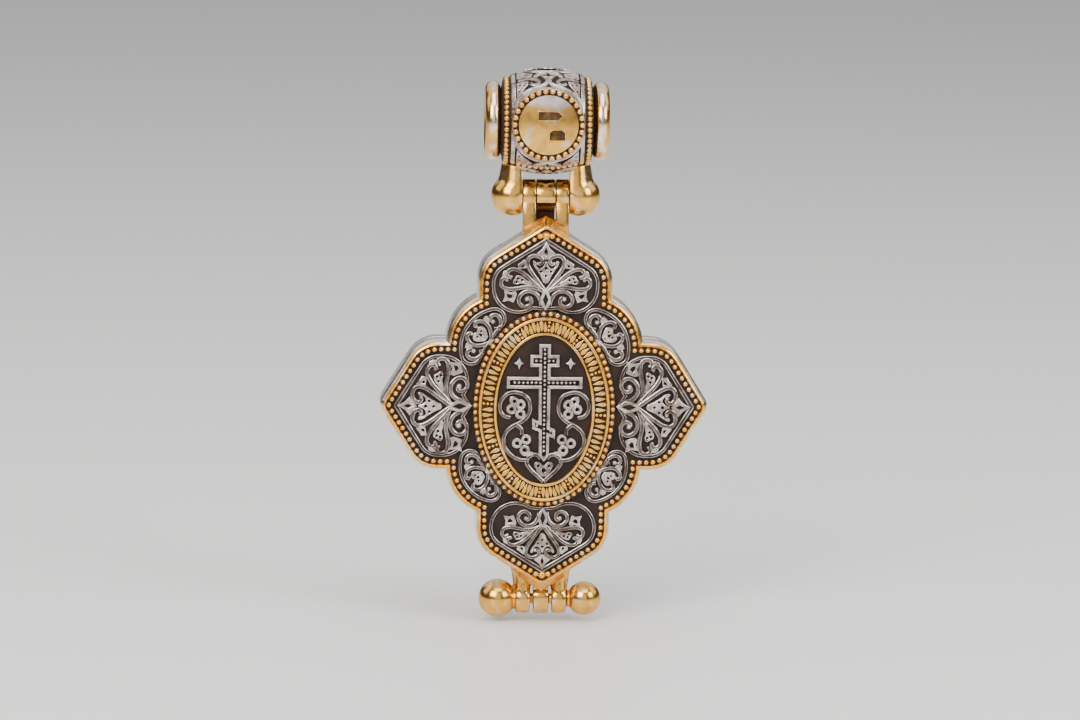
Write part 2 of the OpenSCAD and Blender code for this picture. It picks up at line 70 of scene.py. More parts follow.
AS_DRAWN = Matrix.Identity(4)
FLIP_ACROSS = Matrix.Scale(-1, 4, (1, 0, 0))
FLIP_UP = Matrix.Scale(-1, 4, (0, 1, 0))

Spot = tuple[float, float]
Place = tuple[float, float, float]
Line = tuple[Spot, ...]
Colour = tuple[float, float, float, float]
Height = Callable[[float, float], float]
Piece = bpy.types.Object
Socket = bpy.types.NodeSocket


class Slot(Enum):
    """The record's material slots."""

    SILVER = "silver"
    OXIDISED = "oxidised_silver"
    GILT = "gilt"


class Body(Enum):
    """The rigid bodies that pieces ride on."""

    BAIL = "bail"
    FRONT = "front_leaf"
    BACK = "back_leaf"
    CLASP = "clasp"


class Face(Enum):
    """Which way a leaf faces along Y."""

    FRONT = -1
    BACK = 1


class Corner(Enum):
    """How a drawn line passes its points."""

    SMOOTH = "AUTO"
    SHARP = "VECTOR"


def arc(cu: float, cv: float, r: float, start: float, end: float, steps: int) -> list[Spot]:
    """Draws an arc from start to end, in degrees.

    Args:
        cu: Centre, across.
        cv: Centre, up.
        r: Radius.
        start: First angle.
        end: Last angle.
        steps: Number of steps between them.

    Returns:
        The points of the arc, both ends included.
    """
    turns = [math.radians(start + (end - start) * i / steps) for i in range(steps + 1)]
    return [(cu + r * math.cos(a), cv + r * math.sin(a)) for a in turns]


def circle(cu: float, cv: float, r: float, count: int) -> list[Spot]:
    """Draws a closed circle of count points."""
    return arc(cu, cv, r, 0, 360 - 360 / count, count - 1)


def polar(r: float, turn: float) -> Spot:
    """Returns the spot at a distance from the centre and a turn in radians."""
    return (r * math.cos(turn), r * math.sin(turn))


def mirrored(line: Sequence[Spot]) -> list[Spot]:
    """Returns the line reflected from right to left."""
    return [(-u, v) for u, v in line]


# Finishes


class Nodes:
    """The nodes of one material, their patterns read on the piece's own coordinates."""

    def __init__(self, made: bpy.types.Material) -> None:
        """Opens the nodes of a new material.

        Args:
            made: The material.
        """
        made.use_nodes = True
        self.tree = made.node_tree
        self.shader = self.tree.nodes["Principled BSDF"]
        self.place = self.tree.nodes.new("ShaderNodeTexCoord").outputs["Object"]

    def feed(self, node: bpy.types.Node, name: str | int, value: object) -> None:
        """Sets one of a node's sockets, or links it to another node.

        Args:
            node: The node.
            name: Name or number of its socket.
            value: A number, a colour or another node's socket.
        """
        if isinstance(value, Socket):
            self.tree.links.new(value, node.inputs[name])
        else:
            node.inputs[name].default_value = value

    def add(self, kind: str, sockets: dict[str | int, object], **settings: object) -> bpy.types.Node:
        """Adds a node.

        Args:
            kind: Kind of the node.
            sockets: What its sockets are fed.
            **settings: The node's settings.

        Returns:
            The node.
        """
        node = self.tree.nodes.new(kind)
        for name, value in settings.items():
            setattr(node, name, value)
        for name, value in sockets.items():
            self.feed(node, name, value)
        return node

    def mark(self, name: str) -> Socket:
        """Reads an attribute of the piece, 0 to 1."""
        return self.add("ShaderNodeAttribute", {}, attribute_name=name).outputs["Fac"]

    def noise(self, size: float, detail: float) -> Socket:
        """Adds a cloudy pattern.

        Args:
            size: Size of its clouds, in millimetres.
            detail: How many finer layers it has.

        Returns:
            The pattern, 0 to 1.
        """
        sockets = {"Vector": self.place, "Scale": 1 / (size * MM), "Detail": detail}
        return self.add("ShaderNodeTexNoise", sockets).outputs["Fac"]

    def spread(self, value: Socket, low: float, high: float) -> Socket:
        """Maps 0 to low and 1 to high.

        Args:
            value: The value to map.
            low: What 0 becomes.
            high: What 1 becomes.

        Returns:
            The mapped value.
        """
        sockets = {"Value": value, "To Min": low, "To Max": high}
        return self.add("ShaderNodeMapRange", sockets).outputs["Result"]

    def ramp(self, value: Socket, low: float, high: float) -> Socket:
        """Rises smoothly from 0 at low to 1 at high.

        Args:
            value: The value to read.
            low: Where the rise starts.
            high: Where the rise ends.

        Returns:
            The risen value, 0 to 1.
        """
        sockets = {"Value": value, "From Min": low, "From Max": high}
        return self.add("ShaderNodeMapRange", sockets, interpolation_type="SMOOTHSTEP").outputs["Result"]

    def math(self, kind: str, a: Socket, b: Socket) -> Socket:
        """Adds or multiplies two values.

        Args:
            kind: ADD or MULTIPLY.
            a: The first value.
            b: The second value.

        Returns:
            The result, kept between 0 and 1.
        """
        return self.add("ShaderNodeMath", {0: a, 1: b}, operation=kind, use_clamp=True).outputs["Value"]

    def mix(self, share: Socket, a: Colour | Socket, b: Colour | Socket) -> Socket:
        """Mixes two colours.

        Args:
            share: Share of the second colour, 0 to 1.
            a: The first colour.
            b: The second colour.

        Returns:
            The mixed colour.
        """
        return self.add("ShaderNodeMix", {"Factor": share, 6: a, 7: b}, data_type="RGBA").outputs[2]


@dataclass(frozen=True)
class MetalFinish:
    """A metal that is rubbed bright on its heights and darkened in its hollows.

    The pieces carry an attribute named rub, 0 in a hollow and 1 on a height, which on some pieces
    also holds painted shade, and some one named bare, 1 where the gilding is worn through. The shader darkens
    narrow recesses further by ambient occlusion: tarnish plus painted shade. Sizes are in millimetres.
    """

    name: str
    slot: Slot
    # Colours of heights, thin gilding, deep hollows and painted shade, and tarnish
    bright: Colour
    worn: Colour
    hollow_and_shade: Colour
    patina: Colour
    # Roughness of heights and hollows
    gloss: float
    dull: float
    # Share and size of worn patches, strength of the casting's skin
    worn_share: float = 0.35
    patch: float = 3.0
    grain: float = 0.12
    metal_in_hollow: float = 0.4
    tarnish: float = 0.3
    bare: Colour = (0.86, 0.77, 0.73, 1)
    specular: float = 0.25
    # Sizes of patina clouds, tarnish spots, stains, scuffs and skin, and the reach of the occlusion that
    # paints tarnish and shade into narrow recesses
    blush: float = 2.2
    spot: float = 1.1
    stain: float = 0.9
    scuff: float = 0.5
    skin: float = 0.22
    skin_depth: float = 0.03
    tarnish_and_shade_reach: float = 0.45
    # Values of a pattern between which a look sets in; a worn share of 1 slides the first pair down
    worn_ramp: Spot = (0.62, 0.78)
    worn_slide: float = 0.3
    spot_ramp: Spot = (0.46, 0.72)
    blush_ramp: Spot = (0.3, 0.8)
    tarnish_and_shade_ramp: Spot = (0.04, 0.4)
    rub_ramp: Spot = (0.12, 0.78)
    bare_ramp: Spot = (0.35, 0.8)
    # What a pattern takes away or adds
    stain_span: Spot = (-0.22, 0.22)
    bare_span: Spot = (-0.4, 0.4)
    scuff_span: Spot = (-0.07, 0.09)

    def material(self) -> bpy.types.Material:
        """Builds the node material, once for all pieces that share it.

        Returns:
            The material.
        """
        known = bpy.data.materials.get(self.name)
        if known:
            return known
        made = bpy.data.materials.new(self.name)
        nodes = Nodes(made)
        rub = self._rub(nodes)
        smooth = nodes.spread(rub, self.dull, self.gloss)
        scuffs = nodes.spread(nodes.noise(self.scuff, detail=5.0), *self.scuff_span)
        nodes.feed(nodes.shader, "Base Color", self._colour(nodes, rub))
        nodes.feed(nodes.shader, "Metallic", nodes.spread(rub, self.metal_in_hollow, 1.0))
        nodes.feed(nodes.shader, "Roughness", nodes.math("ADD", smooth, scuffs))
        nodes.feed(nodes.shader, "Specular IOR Level", self.specular)
        nodes.feed(nodes.shader, "Normal", self._skin(nodes))
        return made

    def _rub(self, nodes: Nodes) -> Socket:
        """Breaks up the rub attribute with stains and darkens it in narrow recesses: tarnish plus painted
        shade.

        Args:
            nodes: The material's nodes.

        Returns:
            How far the metal is rubbed bright, 0 to 1, lowered where shade is painted.
        """
        stains = nodes.spread(nodes.noise(self.stain, detail=4.0), *self.stain_span)
        # Ambient occlusion darkens narrow recesses and the gaps between parts: tarnish plus painted shade
        tarnish_and_shade = nodes.add("ShaderNodeAmbientOcclusion", {"Distance": self.tarnish_and_shade_reach * MM}, samples=4)
        closed = nodes.ramp(tarnish_and_shade.outputs["AO"], *self.tarnish_and_shade_ramp)
        stained = nodes.math("ADD", nodes.mark("rub"), stains)
        return nodes.ramp(nodes.math("MULTIPLY", stained, closed), *self.rub_ramp)

    def _colour(self, nodes: Nodes, rub: Socket) -> Socket:
        """Mixes the dark of the hollows and of painted shade into the worn and tarnished metal of the
        heights.

        Args:
            nodes: The material's nodes.
            rub: How far the metal is rubbed bright, lowered where shade is painted.

        Returns:
            The colour.
        """
        patches = nodes.noise(self.patch, detail=3.0)
        start, end = (value - self.worn_slide * self.worn_share for value in self.worn_ramp)
        gilding = nodes.mix(nodes.ramp(patches, start, end), self.bright, self.worn)
        ragged = nodes.math("ADD", nodes.mark("bare"), nodes.spread(patches, *self.bare_span))
        top = nodes.mix(nodes.ramp(ragged, *self.bare_ramp), gilding, self.bare)
        spots = nodes.ramp(nodes.noise(self.spot, detail=6.0), *self.spot_ramp)
        top = nodes.mix(nodes.spread(spots, 0.0, self.tarnish), top, self.patina)
        blush = nodes.ramp(nodes.noise(self.blush, detail=5.0), *self.blush_ramp)
        return nodes.mix(rub, nodes.mix(blush, self.hollow_and_shade, self.patina), top)

    def _skin(self, nodes: Nodes) -> Socket:
        """Raises the fine skin of a casting.

        Args:
            nodes: The material's nodes.

        Returns:
            The surface's direction with its skin.
        """
        sockets = {"Strength": self.grain, "Distance": self.skin_depth * MM,
                   "Height": nodes.noise(self.skin, detail=3.0)}
        return nodes.add("ShaderNodeBump", sockets).outputs["Normal"]


GILT_RIM = MetalFinish(
    "gilt_rim", Slot.GILT, bright=(0.77, 0.42, 0.09, 1), worn=(0.75, 0.53, 0.27, 1),
    hollow_and_shade=(0.035, 0.014, 0.004, 1), patina=(0.075, 0.031, 0.009, 1),
    gloss=0.25, dull=0.6, worn_share=0.35, patch=2.5, grain=0.12, metal_in_hollow=0.3)
GILT_POLISHED = MetalFinish(
    "gilt_polished", Slot.GILT, bright=(0.77, 0.42, 0.085, 1), worn=(0.75, 0.53, 0.27, 1),
    hollow_and_shade=(0.030, 0.012, 0.004, 1), patina=(0.070, 0.029, 0.009, 1),
    gloss=0.2, dull=0.5, worn_share=0.3, patch=1.8, grain=0.1, metal_in_hollow=0.3)
SIDE_SILVER = MetalFinish(
    "side_silver", Slot.SILVER, bright=(0.90, 0.82, 0.78, 1), worn=(0.80, 0.66, 0.48, 1),
    hollow_and_shade=(0.140, 0.080, 0.050, 1), patina=(0.200, 0.120, 0.070, 1),
    gloss=0.28, dull=0.5, worn_share=0.2, patch=6.0, grain=0.06, metal_in_hollow=0.6, tarnish=0.12)
DARK_SILVER = MetalFinish(
    "dark_silver", Slot.OXIDISED, bright=(0.58, 0.495, 0.46, 1), worn=(0.36, 0.28, 0.24, 1),
    hollow_and_shade=(0.013, 0.008, 0.006, 1), patina=(0.034, 0.016, 0.010, 1),
    gloss=0.26, dull=0.6, worn_share=0.4, patch=1.5, grain=0.2, metal_in_hollow=0.15, tarnish=0.45)
SATIN_SILVER = MetalFinish(
    "satin_silver", Slot.OXIDISED, bright=(0.56, 0.49, 0.46, 1), worn=(0.50, 0.43, 0.40, 1),
    hollow_and_shade=(0.040, 0.028, 0.024, 1), patina=(0.060, 0.036, 0.026, 1),
    gloss=0.34, dull=0.55, worn_share=0.4, patch=2.0, grain=0.2, metal_in_hollow=0.6, tarnish=0.12)


# Bench


class Bench:
    """The modelling steps that every piece goes through, in millimetres."""

    SAME_SPOT = 0.001

    @staticmethod
    def clear() -> None:
        """Leaves edit mode and deselects everything."""
        if bpy.context.mode != "OBJECT":
            bpy.ops.object.mode_set(mode="OBJECT")
        bpy.ops.object.select_all(action="DESELECT")

    @staticmethod
    def pick(*pieces: Piece) -> None:
        """Selects these pieces alone, the last one active.

        Args:
            *pieces: The pieces to select.
        """
        Bench.clear()
        for piece in pieces:
            piece.select_set(True)
        bpy.context.view_layer.objects.active = pieces[-1]

    @staticmethod
    def opened(piece: Piece) -> None:
        """Opens a piece in edit mode with its whole mesh selected.

        Args:
            piece: The piece to open.
        """
        Bench.pick(piece)
        bpy.ops.object.mode_set(mode="EDIT")
        bpy.ops.mesh.select_all(action="SELECT")

    @staticmethod
    def worked(piece: Piece, kind: str, **settings: object) -> Piece:
        """Gives a piece a modifier and applies it.

        Args:
            piece: The piece.
            kind: Kind of the modifier.
            **settings: The modifier's settings.

        Returns:
            The piece.
        """
        Bench.pick(piece)
        tool = piece.modifiers.new(kind.lower(), kind)
        for name, value in settings.items():
            setattr(tool, name, value)
        bpy.ops.object.modifier_apply(modifier=tool.name)
        return piece

    @staticmethod
    def ball(radius: float, place: Place = (0, 0, 0), around: int = 48, rings: int = 32) -> Piece:
        """Adds a whole ball.

        Args:
            radius: Radius of the ball.
            place: Its centre.
            around: Faces round it.
            rings: Faces from pole to pole.

        Returns:
            The ball.
        """
        Bench.clear()
        bpy.ops.mesh.primitive_uv_sphere_add(segments=around, ring_count=rings, radius=radius, location=place)
        return bpy.context.active_object

    @staticmethod
    def ring(name: str, points: Sequence[Place]) -> Piece:
        """Draws a closed ring through the points and stays in edit mode.

        Args:
            name: Name of the piece.
            points: Points of the ring, in order.

        Returns:
            The piece.
        """
        Bench.clear()
        bpy.ops.mesh.primitive_circle_add(vertices=len(points), radius=1)
        piece = bpy.context.active_object
        piece.name = name
        bpy.ops.object.mode_set(mode="EDIT")
        mesh = bmesh.from_edit_mesh(piece.data)
        for vert, point in zip(mesh.verts, points):
            vert.co = point
        bmesh.update_edit_mesh(piece.data)
        return piece

    @staticmethod
    def swept(name: str, stations: Sequence[Sequence[Place]], closed: bool = False,
              capped: bool = False, bare: Sequence[float] = ()) -> Piece:
        """Draws a ring and extrudes it from station to station.

        Args:
            name: Name of the piece.
            stations: Rings of points, with the same number of points in each.
            closed: Whether the last ring joins the first.
            capped: Whether the first and last rings are filled.
            bare: How far the gilding is worn through on each ring.

        Returns:
            The piece.
        """
        piece = Bench.ring(name, stations[0])
        mesh = bmesh.from_edit_mesh(piece.data)
        order = mesh.verts.layers.int.new("order")
        worn = mesh.verts.layers.float.new("bare")
        for i, vert in enumerate(mesh.verts):
            vert[order] = i
            vert[worn] = bare[0] if bare else 0.0
        bmesh.update_edit_mesh(piece.data)
        if capped:
            bpy.ops.mesh.edge_face_add()
            bpy.ops.mesh.select_all(action="SELECT")
        rings = list(stations[1:]) + ([stations[0]] if closed else [])
        marks = (list(bare[1:]) + [bare[0]]) if bare else [0.0] * len(rings)
        for ring, mark in zip(rings, marks):
            bpy.ops.mesh.extrude_region_move()
            mesh = bmesh.from_edit_mesh(piece.data)
            order, worn = mesh.verts.layers.int["order"], mesh.verts.layers.float["bare"]
            for vert in mesh.verts:
                if vert.select:
                    vert.co = ring[vert[order]]
                    vert[worn] = mark
            bmesh.update_edit_mesh(piece.data)
        Bench.close_up(piece)
        return piece

    @staticmethod
    def close_up(piece: Piece, gap: float = 0.002) -> None:
        """Merges doubles and turns all faces outwards.

        Args:
            piece: The piece.
            gap: Distance below which two points become one.
        """
        Bench.opened(piece)
        bpy.ops.mesh.remove_doubles(threshold=gap)
        bpy.ops.mesh.dissolve_degenerate(threshold=gap / 4)
        bpy.ops.mesh.select_all(action="SELECT")
        bpy.ops.mesh.normals_make_consistent(inside=False)
        bpy.ops.object.mode_set(mode="OBJECT")

    @staticmethod
    def turned(name: str, profile: Sequence[Spot], steps: int = 48) -> Piece:
        """Turns a profile about the X axis, as on a lathe.

        Args:
            name: Name of the piece.
            profile: Points of place along X and radius.
            steps: Number of steps round the axis.

        Returns:
            The piece.
        """
        looped = math.dist(profile[0], profile[-1]) < Bench.SAME_SPOT
        piece = Bench.ring(name, [(x, 0.0, r) for x, r in profile[:-1 if looped else None]])
        if not looped:
            mesh = bmesh.from_edit_mesh(piece.data)
            mesh.verts.ensure_lookup_table()
            ends = {mesh.verts[0], mesh.verts[-1]}
            for edge in mesh.edges:
                edge.select_set(set(edge.verts) == ends)
            bpy.ops.mesh.delete(type="EDGE")
        bpy.ops.mesh.select_all(action="SELECT")
        bpy.ops.mesh.spin(steps=steps, angle=2 * math.pi, center=(0, 0, 0), axis=(1, 0, 0))
        Bench.close_up(piece)
        return piece

    @staticmethod
    def drawn(name: str, lines: Sequence[Sequence[Spot]], corner: Corner, cyclic: bool,
              steps: int = 4) -> Piece:
        """Draws lines flat as one curve.

        Args:
            name: Name of the curve.
            lines: Lines of points.
            corner: How the lines pass their points.
            cyclic: Whether each line closes on itself.
            steps: Steps between two points of a smooth line.

        Returns:
            The curve object, still without thickness.
        """
        curve = bpy.data.curves.new(name, "CURVE")
        curve.dimensions = "2D"
        curve.fill_mode = "NONE"
        curve.resolution_u = steps if corner is Corner.SMOOTH else 1
        for line in lines:
            spline = curve.splines.new("BEZIER")
            spline.bezier_points.add(len(line) - 1)
            for knot, (u, v) in zip(spline.bezier_points, line):
                knot.co = (u, v, 0)
                knot.handle_left_type = knot.handle_right_type = corner.value
            spline.use_cyclic_u = cyclic
        piece = bpy.data.objects.new(name, curve)
        bpy.context.scene.collection.objects.link(piece)
        return piece

    @staticmethod
    def as_mesh(piece: Piece) -> Piece:
        """Turns a curve into a mesh.

        Args:
            piece: The curve object.

        Returns:
            The mesh object.
        """
        Bench.pick(piece)
        bpy.ops.object.convert(target="MESH")
        return bpy.context.active_object

    @staticmethod
    def ribbon(name: str, lines: Sequence[Sequence[Spot]], width: float, high: float,
               corner: Corner = Corner.SMOOTH, cyclic: bool = False, groove: float = 0.25) -> Piece:
        """Lays a grooved ribbon along each line.

        Args:
            name: Name of the piece.
            lines: Lines of points.
            width: Width of the ribbon.
            high: Height of its two edges.
            corner: How the lines pass their points.
            cyclic: Whether each line closes on itself.
            groove: Depth of the groove, as a share of the height.

        Returns:
            The piece, lying flat with its foot at 0.
        """
        w = width / 2
        # Right half of the section: foot, flank, rounded edge, crest and groove
        half = [(w, -0.1), (w, 0.5 * high), (0.8 * w, 0.9 * high), (0.55 * w, high),
                (0.22 * w, (1 - groove) * high)]
        section = Bench.drawn(name + "_section", [half + mirrored(half)[::-1]], Corner.SHARP, True)
        piece = Bench.drawn(name, lines, corner, cyclic)
        piece.data.bevel_mode = "OBJECT"
        piece.data.bevel_object = section
        piece.data.use_fill_caps = True
        piece = Bench.as_mesh(piece)
        bpy.data.objects.remove(section)
        return piece

    @staticmethod
    def plaque(name: str, outlines: Sequence[Sequence[Spot]], high: float, edge: float,
               corner: Corner = Corner.SMOOTH, steps: int = 3) -> Piece:
        """Cuts a flat shape, with holes where outlines lie inside others, and rounds its edge.

        Args:
            name: Name of the piece.
            outlines: Closed lines.
            high: Height of the shape.
            edge: Radius of its rounded edge.
            corner: How the lines pass their points.
            steps: Steps between two points of a smooth line.

        Returns:
            The piece, lying flat with its foot at 0.
        """
        piece = Bench.drawn(name, outlines, corner, True, steps)
        piece.data.fill_mode = "BOTH"
        piece.data.extrude = high / 2 - edge
        piece.data.bevel_depth = edge
        piece.data.bevel_resolution = 1
        piece.data.offset = -edge
        piece = Bench.as_mesh(piece)
        piece.data.transform(Matrix.Translation((0, 0, high / 2)))
        return piece

    @staticmethod
    def joined(name: str, pieces: Sequence[Piece]) -> Piece:
        """Joins pieces into one.

        Args:
            name: Name of the joined piece.
            pieces: The pieces. They are used up.

        Returns:
            The joined piece.
        """
        Bench.pick(*pieces)
        if len(pieces) > 1:
            bpy.ops.object.join()
        piece = bpy.context.active_object
        piece.name = name
        return piece

    @staticmethod
    def copied(piece: Piece, place: Matrix) -> Piece:
        """Copies a piece with its own mesh and puts the copy in its place.

        Args:
            piece: The piece to copy.
            place: Turn, size and place of the copy.

        Returns:
            The copy.
        """
        Bench.pick(piece)
        bpy.ops.object.duplicate(linked=False)
        twin = bpy.context.active_object
        twin.data.transform(place)
        if place.determinant() < 0:
            twin.data.flip_normals()
        return twin

    @staticmethod
    def with_twin(piece: Piece) -> Piece:
        """Adds the piece's mirror image, left for right."""
        return Bench.joined(piece.name, [piece, Bench.copied(piece, FLIP_ACROSS)])

    @staticmethod
    def draped(piece: Piece, ground: Height) -> Piece:
        """Lifts a flat piece onto the ground under it.

        Args:
            piece: The flat piece.
            ground: Rule that gives the ground's height at a spot.

        Returns:
            The piece.
        """
        for vert in piece.data.vertices:
            vert.co.z += ground(vert.co.x, vert.co.y)
        return piece

    @staticmethod
    def rub_and_shade_by_height(piece: Piece, low: float, high: float, axis: int = 2) -> Piece:
        """Marks hollows and heights by how far each point stands up; on the lower knuckle the same rule
        paints shadow.

        Args:
            piece: The piece, in millimetres.
            low: Height that is wholly dark.
            high: Height that is wholly bright.
            axis: Axis that the height is taken along.

        Returns:
            The piece.
        """
        return Bench.marked(piece, "rub", lambda co: (co[axis] - low) / (high - low))

    @staticmethod
    def evenly_rubbed(piece: Piece, share: float) -> Piece:
        """Marks a whole piece alike, from 0 for a hollow to 1 for a height."""
        return Bench.marked(piece, "rub", lambda co: share)

    @staticmethod
    def sliced(piece: Piece, axis: int, step: float) -> Piece:
        """Cuts extra edges into a piece, at even steps along X or Y, so that it can bend.

        Args:
            piece: The piece.
            axis: 0 for steps along X, 1 for steps along Y.
            step: Distance between two cuts.

        Returns:
            The piece.
        """
        reach = [vert.co[axis] for vert in piece.data.vertices]
        low, high = min(reach), max(reach)
        way = (1, 0, 0) if axis == 0 else (0, 1, 0)
        Bench.opened(piece)
        for i in range(1, int((high - low) / step) + 1):
            bpy.ops.mesh.select_all(action="SELECT")
            bpy.ops.mesh.bisect(plane_co=[w * (low + step * i) for w in way], plane_no=way)
        bpy.ops.object.mode_set(mode="OBJECT")
        return piece

    @staticmethod
    def marked(piece: Piece, name: str, share: Callable[[Vector], float]) -> Piece:
        """Writes an attribute that the metals read.

        Args:
            piece: The piece, in millimetres.
            name: Name of the attribute, rub or bare.
            share: Rule that gives each point's value, which is kept between 0 and 1.

        Returns:
            The piece.
        """
        held = piece.data.attributes.get(name) or piece.data.attributes.new(name, "FLOAT", "POINT")
        for vert, mark in zip(piece.data.vertices, held.data):
            mark.value = max(0.0, min(1.0, share(vert.co)))
        return piece

    @staticmethod
    def strewn(name: str, bead: Piece, spots: Iterable[tuple[Place, float]]) -> Piece:
        """Sets a copy of a bead, of a given size, at each spot.

        Args:
            name: Name of the row.
            bead: The bead, at the origin. It is used up.
            spots: Place and size of each copy.

        Returns:
            The row as one piece.
        """
        by_size: dict[float, list[Place]] = {}
        for place, size in spots:
            by_size.setdefault(round(size, 3), []).append(place)
        rows = []
        for size, places in by_size.items():
            grid = bpy.data.meshes.new(name)
            grid.from_pydata(places, [], [])
            holder = bpy.data.objects.new(name + "_holder", grid)
            bpy.context.scene.collection.objects.link(holder)
            sized = Bench.copied(bead, Matrix.Scale(size, 4))
            sized.parent = holder
            holder.instance_type = "VERTS"
            Bench.pick(holder)
            bpy.ops.object.duplicates_make_real()
            made = [o for o in bpy.context.selected_objects if o is not holder]
            for o in made:
                o.parent = None
            bpy.data.objects.remove(sized)
            bpy.data.objects.remove(holder)
            row = Bench.joined(name, made)
            Bench.pick(row)
            bpy.ops.object.transform_apply(location=True, rotation=True, scale=True)
            rows.append(row)
        bpy.data.objects.remove(bead)
        return Bench.joined(name, rows)

    @staticmethod
    def hulled(name: str, corners: Sequence[Place]) -> Piece:
        """Stretches a flat-sided solid over its corners.

        Args:
            name: Name of the solid.
            corners: Its corners, in any order.

        Returns:
            The solid.
        """
        piece = Bench.ring(name, corners)
        bpy.ops.mesh.select_all(action="SELECT")
        bpy.ops.mesh.delete(type="EDGE_FACE")
        bpy.ops.mesh.select_all(action="SELECT")
        bpy.ops.mesh.convex_hull()
        bpy.ops.object.mode_set(mode="OBJECT")
        return piece

    @staticmethod
    def melted(name: str, pieces: Sequence[Piece], grain: float, smooth: int) -> Piece:
        """Casts overlapping pieces as one skin with soft inner corners.

        Args:
            name: Name of the piece.
            pieces: The overlapping pieces.
            grain: Size of the skin's faces.
            smooth: How many times the skin is smoothed.

        Returns:
            The piece.
        """
        piece = Bench.joined(name, pieces)
        Bench.pick(piece)
        bpy.ops.object.transform_apply(location=True, rotation=True, scale=True)
        Bench.worked(piece, "REMESH", mode="VOXEL", voxel_size=grain)
        return Bench.worked(piece, "SMOOTH", iterations=smooth)

    @staticmethod
    def bead(radius: float, around: int = 12, tall: float = 1.0) -> Piece:
        """Makes a cast bead: the upper half of a ball.

        Args:
            radius: Radius of the bead.
            around: Faces round it.
            tall: Height as a share of the radius.

        Returns:
            The bead, standing up along Z at the origin.
        """
        piece = Bench.ball(radius, around=around, rings=8)
        Bench.opened(piece)
        bpy.ops.mesh.bisect(plane_co=(0, 0, -0.01 * radius), plane_no=(0, 0, 1), clear_inner=True)
        bpy.ops.mesh.select_all(action="SELECT")
        bpy.ops.transform.resize(value=(1, 1, tall), center_override=(0, 0, 0))
        bpy.ops.object.mode_set(mode="OBJECT")
        return Bench.rub_and_shade_by_height(piece, -radius, 0.1 * radius)

    @staticmethod
    def set_in(piece: Piece, place: Matrix, body: Body, finish: MetalFinish,
               stands_for: Sequence[str] = (), crease: float = 35.0) -> Piece:
        """Puts a finished piece in its place, dresses it and hangs it on its body.

        Args:
            piece: The piece, in millimetres.
            place: Its turn and place, in millimetres.
            body: The body that it rides on.
            finish: Its metal.
            stands_for: The solids that it replaces.
            crease: Angle above which an edge stays sharp, in degrees.

        Returns:
            The piece.
        """
        piece.data.transform(Matrix.Scale(MM, 4) @ place)
        if place.determinant() < 0:
            piece.data.flip_normals()
        Bench.pick(piece)
        bpy.ops.object.shade_smooth_by_angle(angle=math.radians(crease))
        if "rub" not in piece.data.attributes:
            Bench.evenly_rubbed(piece, 1.0)
        piece.data.materials.clear()
        piece.data.materials.append(finish.material())
        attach(piece, body.value)
        if stands_for:
            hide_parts(*stands_for)
        LOG.info("%s: %d faces", piece.name, len(piece.data.polygons))
        return piece


# Leaves


LEAF_DROP = -33.2
BORDER_INSET = 0.65
BORDER_WIDTH = 0.42
BORDER_GROOVE = 0.45
BORDER_RUB = (0.1, 0.38)


@dataclass(frozen=True)
class LeafOutline:
    """The lobed outline that rims, bead rows and walls follow."""

    # Distance of the points from the leaf's centre, upper and lower, right and left
    tip_tall: float = 20.4
    tip_wide: float = 18.2
    # Half widths of their lobes
    half_tall: float = 6.82
    half_wide: float = 6.6
    # Slope of the straight flanks beside a point, in degrees
    flank: float = 32.0
    # Radii of shoulders, points and round lobes, and the centre of a round lobe
    shoulder: float = 3.0
    tip_round: float = 0.35
    corner: float = 5.37
    corner_u: float = 5.15
    corner_v: float = 6.85
    tip_steps: int = 4
    shoulder_steps: int = 12
    corner_steps: int = 22

    def shoulder_v(self, tip: float, half: float) -> float:
        """Returns the height of a lobe's shoulder centre."""
        slope = math.radians(self.flank)
        return tip - (self.shoulder + (half - self.shoulder) * math.sin(slope)) / math.cos(slope)

    def lobe(self, tip: float, half: float, d: float) -> list[Spot]:
        """Draws the right half of a pointed lobe, d outside the bead row.

        Args:
            tip: Distance of the lobe's point from the leaf's centre.
            half: Half width of the lobe.
            d: Distance outside the bead row.

        Returns:
            Points from the lobe's point to the end of its shoulder.
        """
        slope = math.cos(math.radians(self.flank))
        top = tip - self.tip_round / slope if d > -self.tip_round else tip + d / slope
        point = arc(0, top, max(self.tip_round + d, 0), 90, 90 - self.flank, self.tip_steps)
        return point + arc(half - self.shoulder, self.shoulder_v(tip, half), self.shoulder + d,
                           90 - self.flank, 0, self.shoulder_steps)

    def ring(self, d: float) -> list[Spot]:
        """Draws the whole outline, d outside the bead row.

        Args:
            d: Distance outside the bead row.

        Returns:
            The closed line, from the upper point clockwise.
        """
        start = math.degrees(math.acos((self.half_tall + d - self.corner_u) / (self.corner + d)))
        end = math.degrees(math.asin((self.half_wide + d - self.corner_v) / (self.corner + d)))
        quarter = self.lobe(self.tip_tall, self.half_tall, d)
        quarter += arc(self.corner_u, self.corner_v, self.corner + d, start, end, self.corner_steps)
        quarter += [(v, u) for u, v in reversed(self.lobe(self.tip_wide, self.half_wide, d))]
        right = quarter + [(u, -v) for u, v in reversed(quarter[:-1])]
        return right + mirrored(right[1:-1])[::-1]


OUTLINE = LeafOutline()


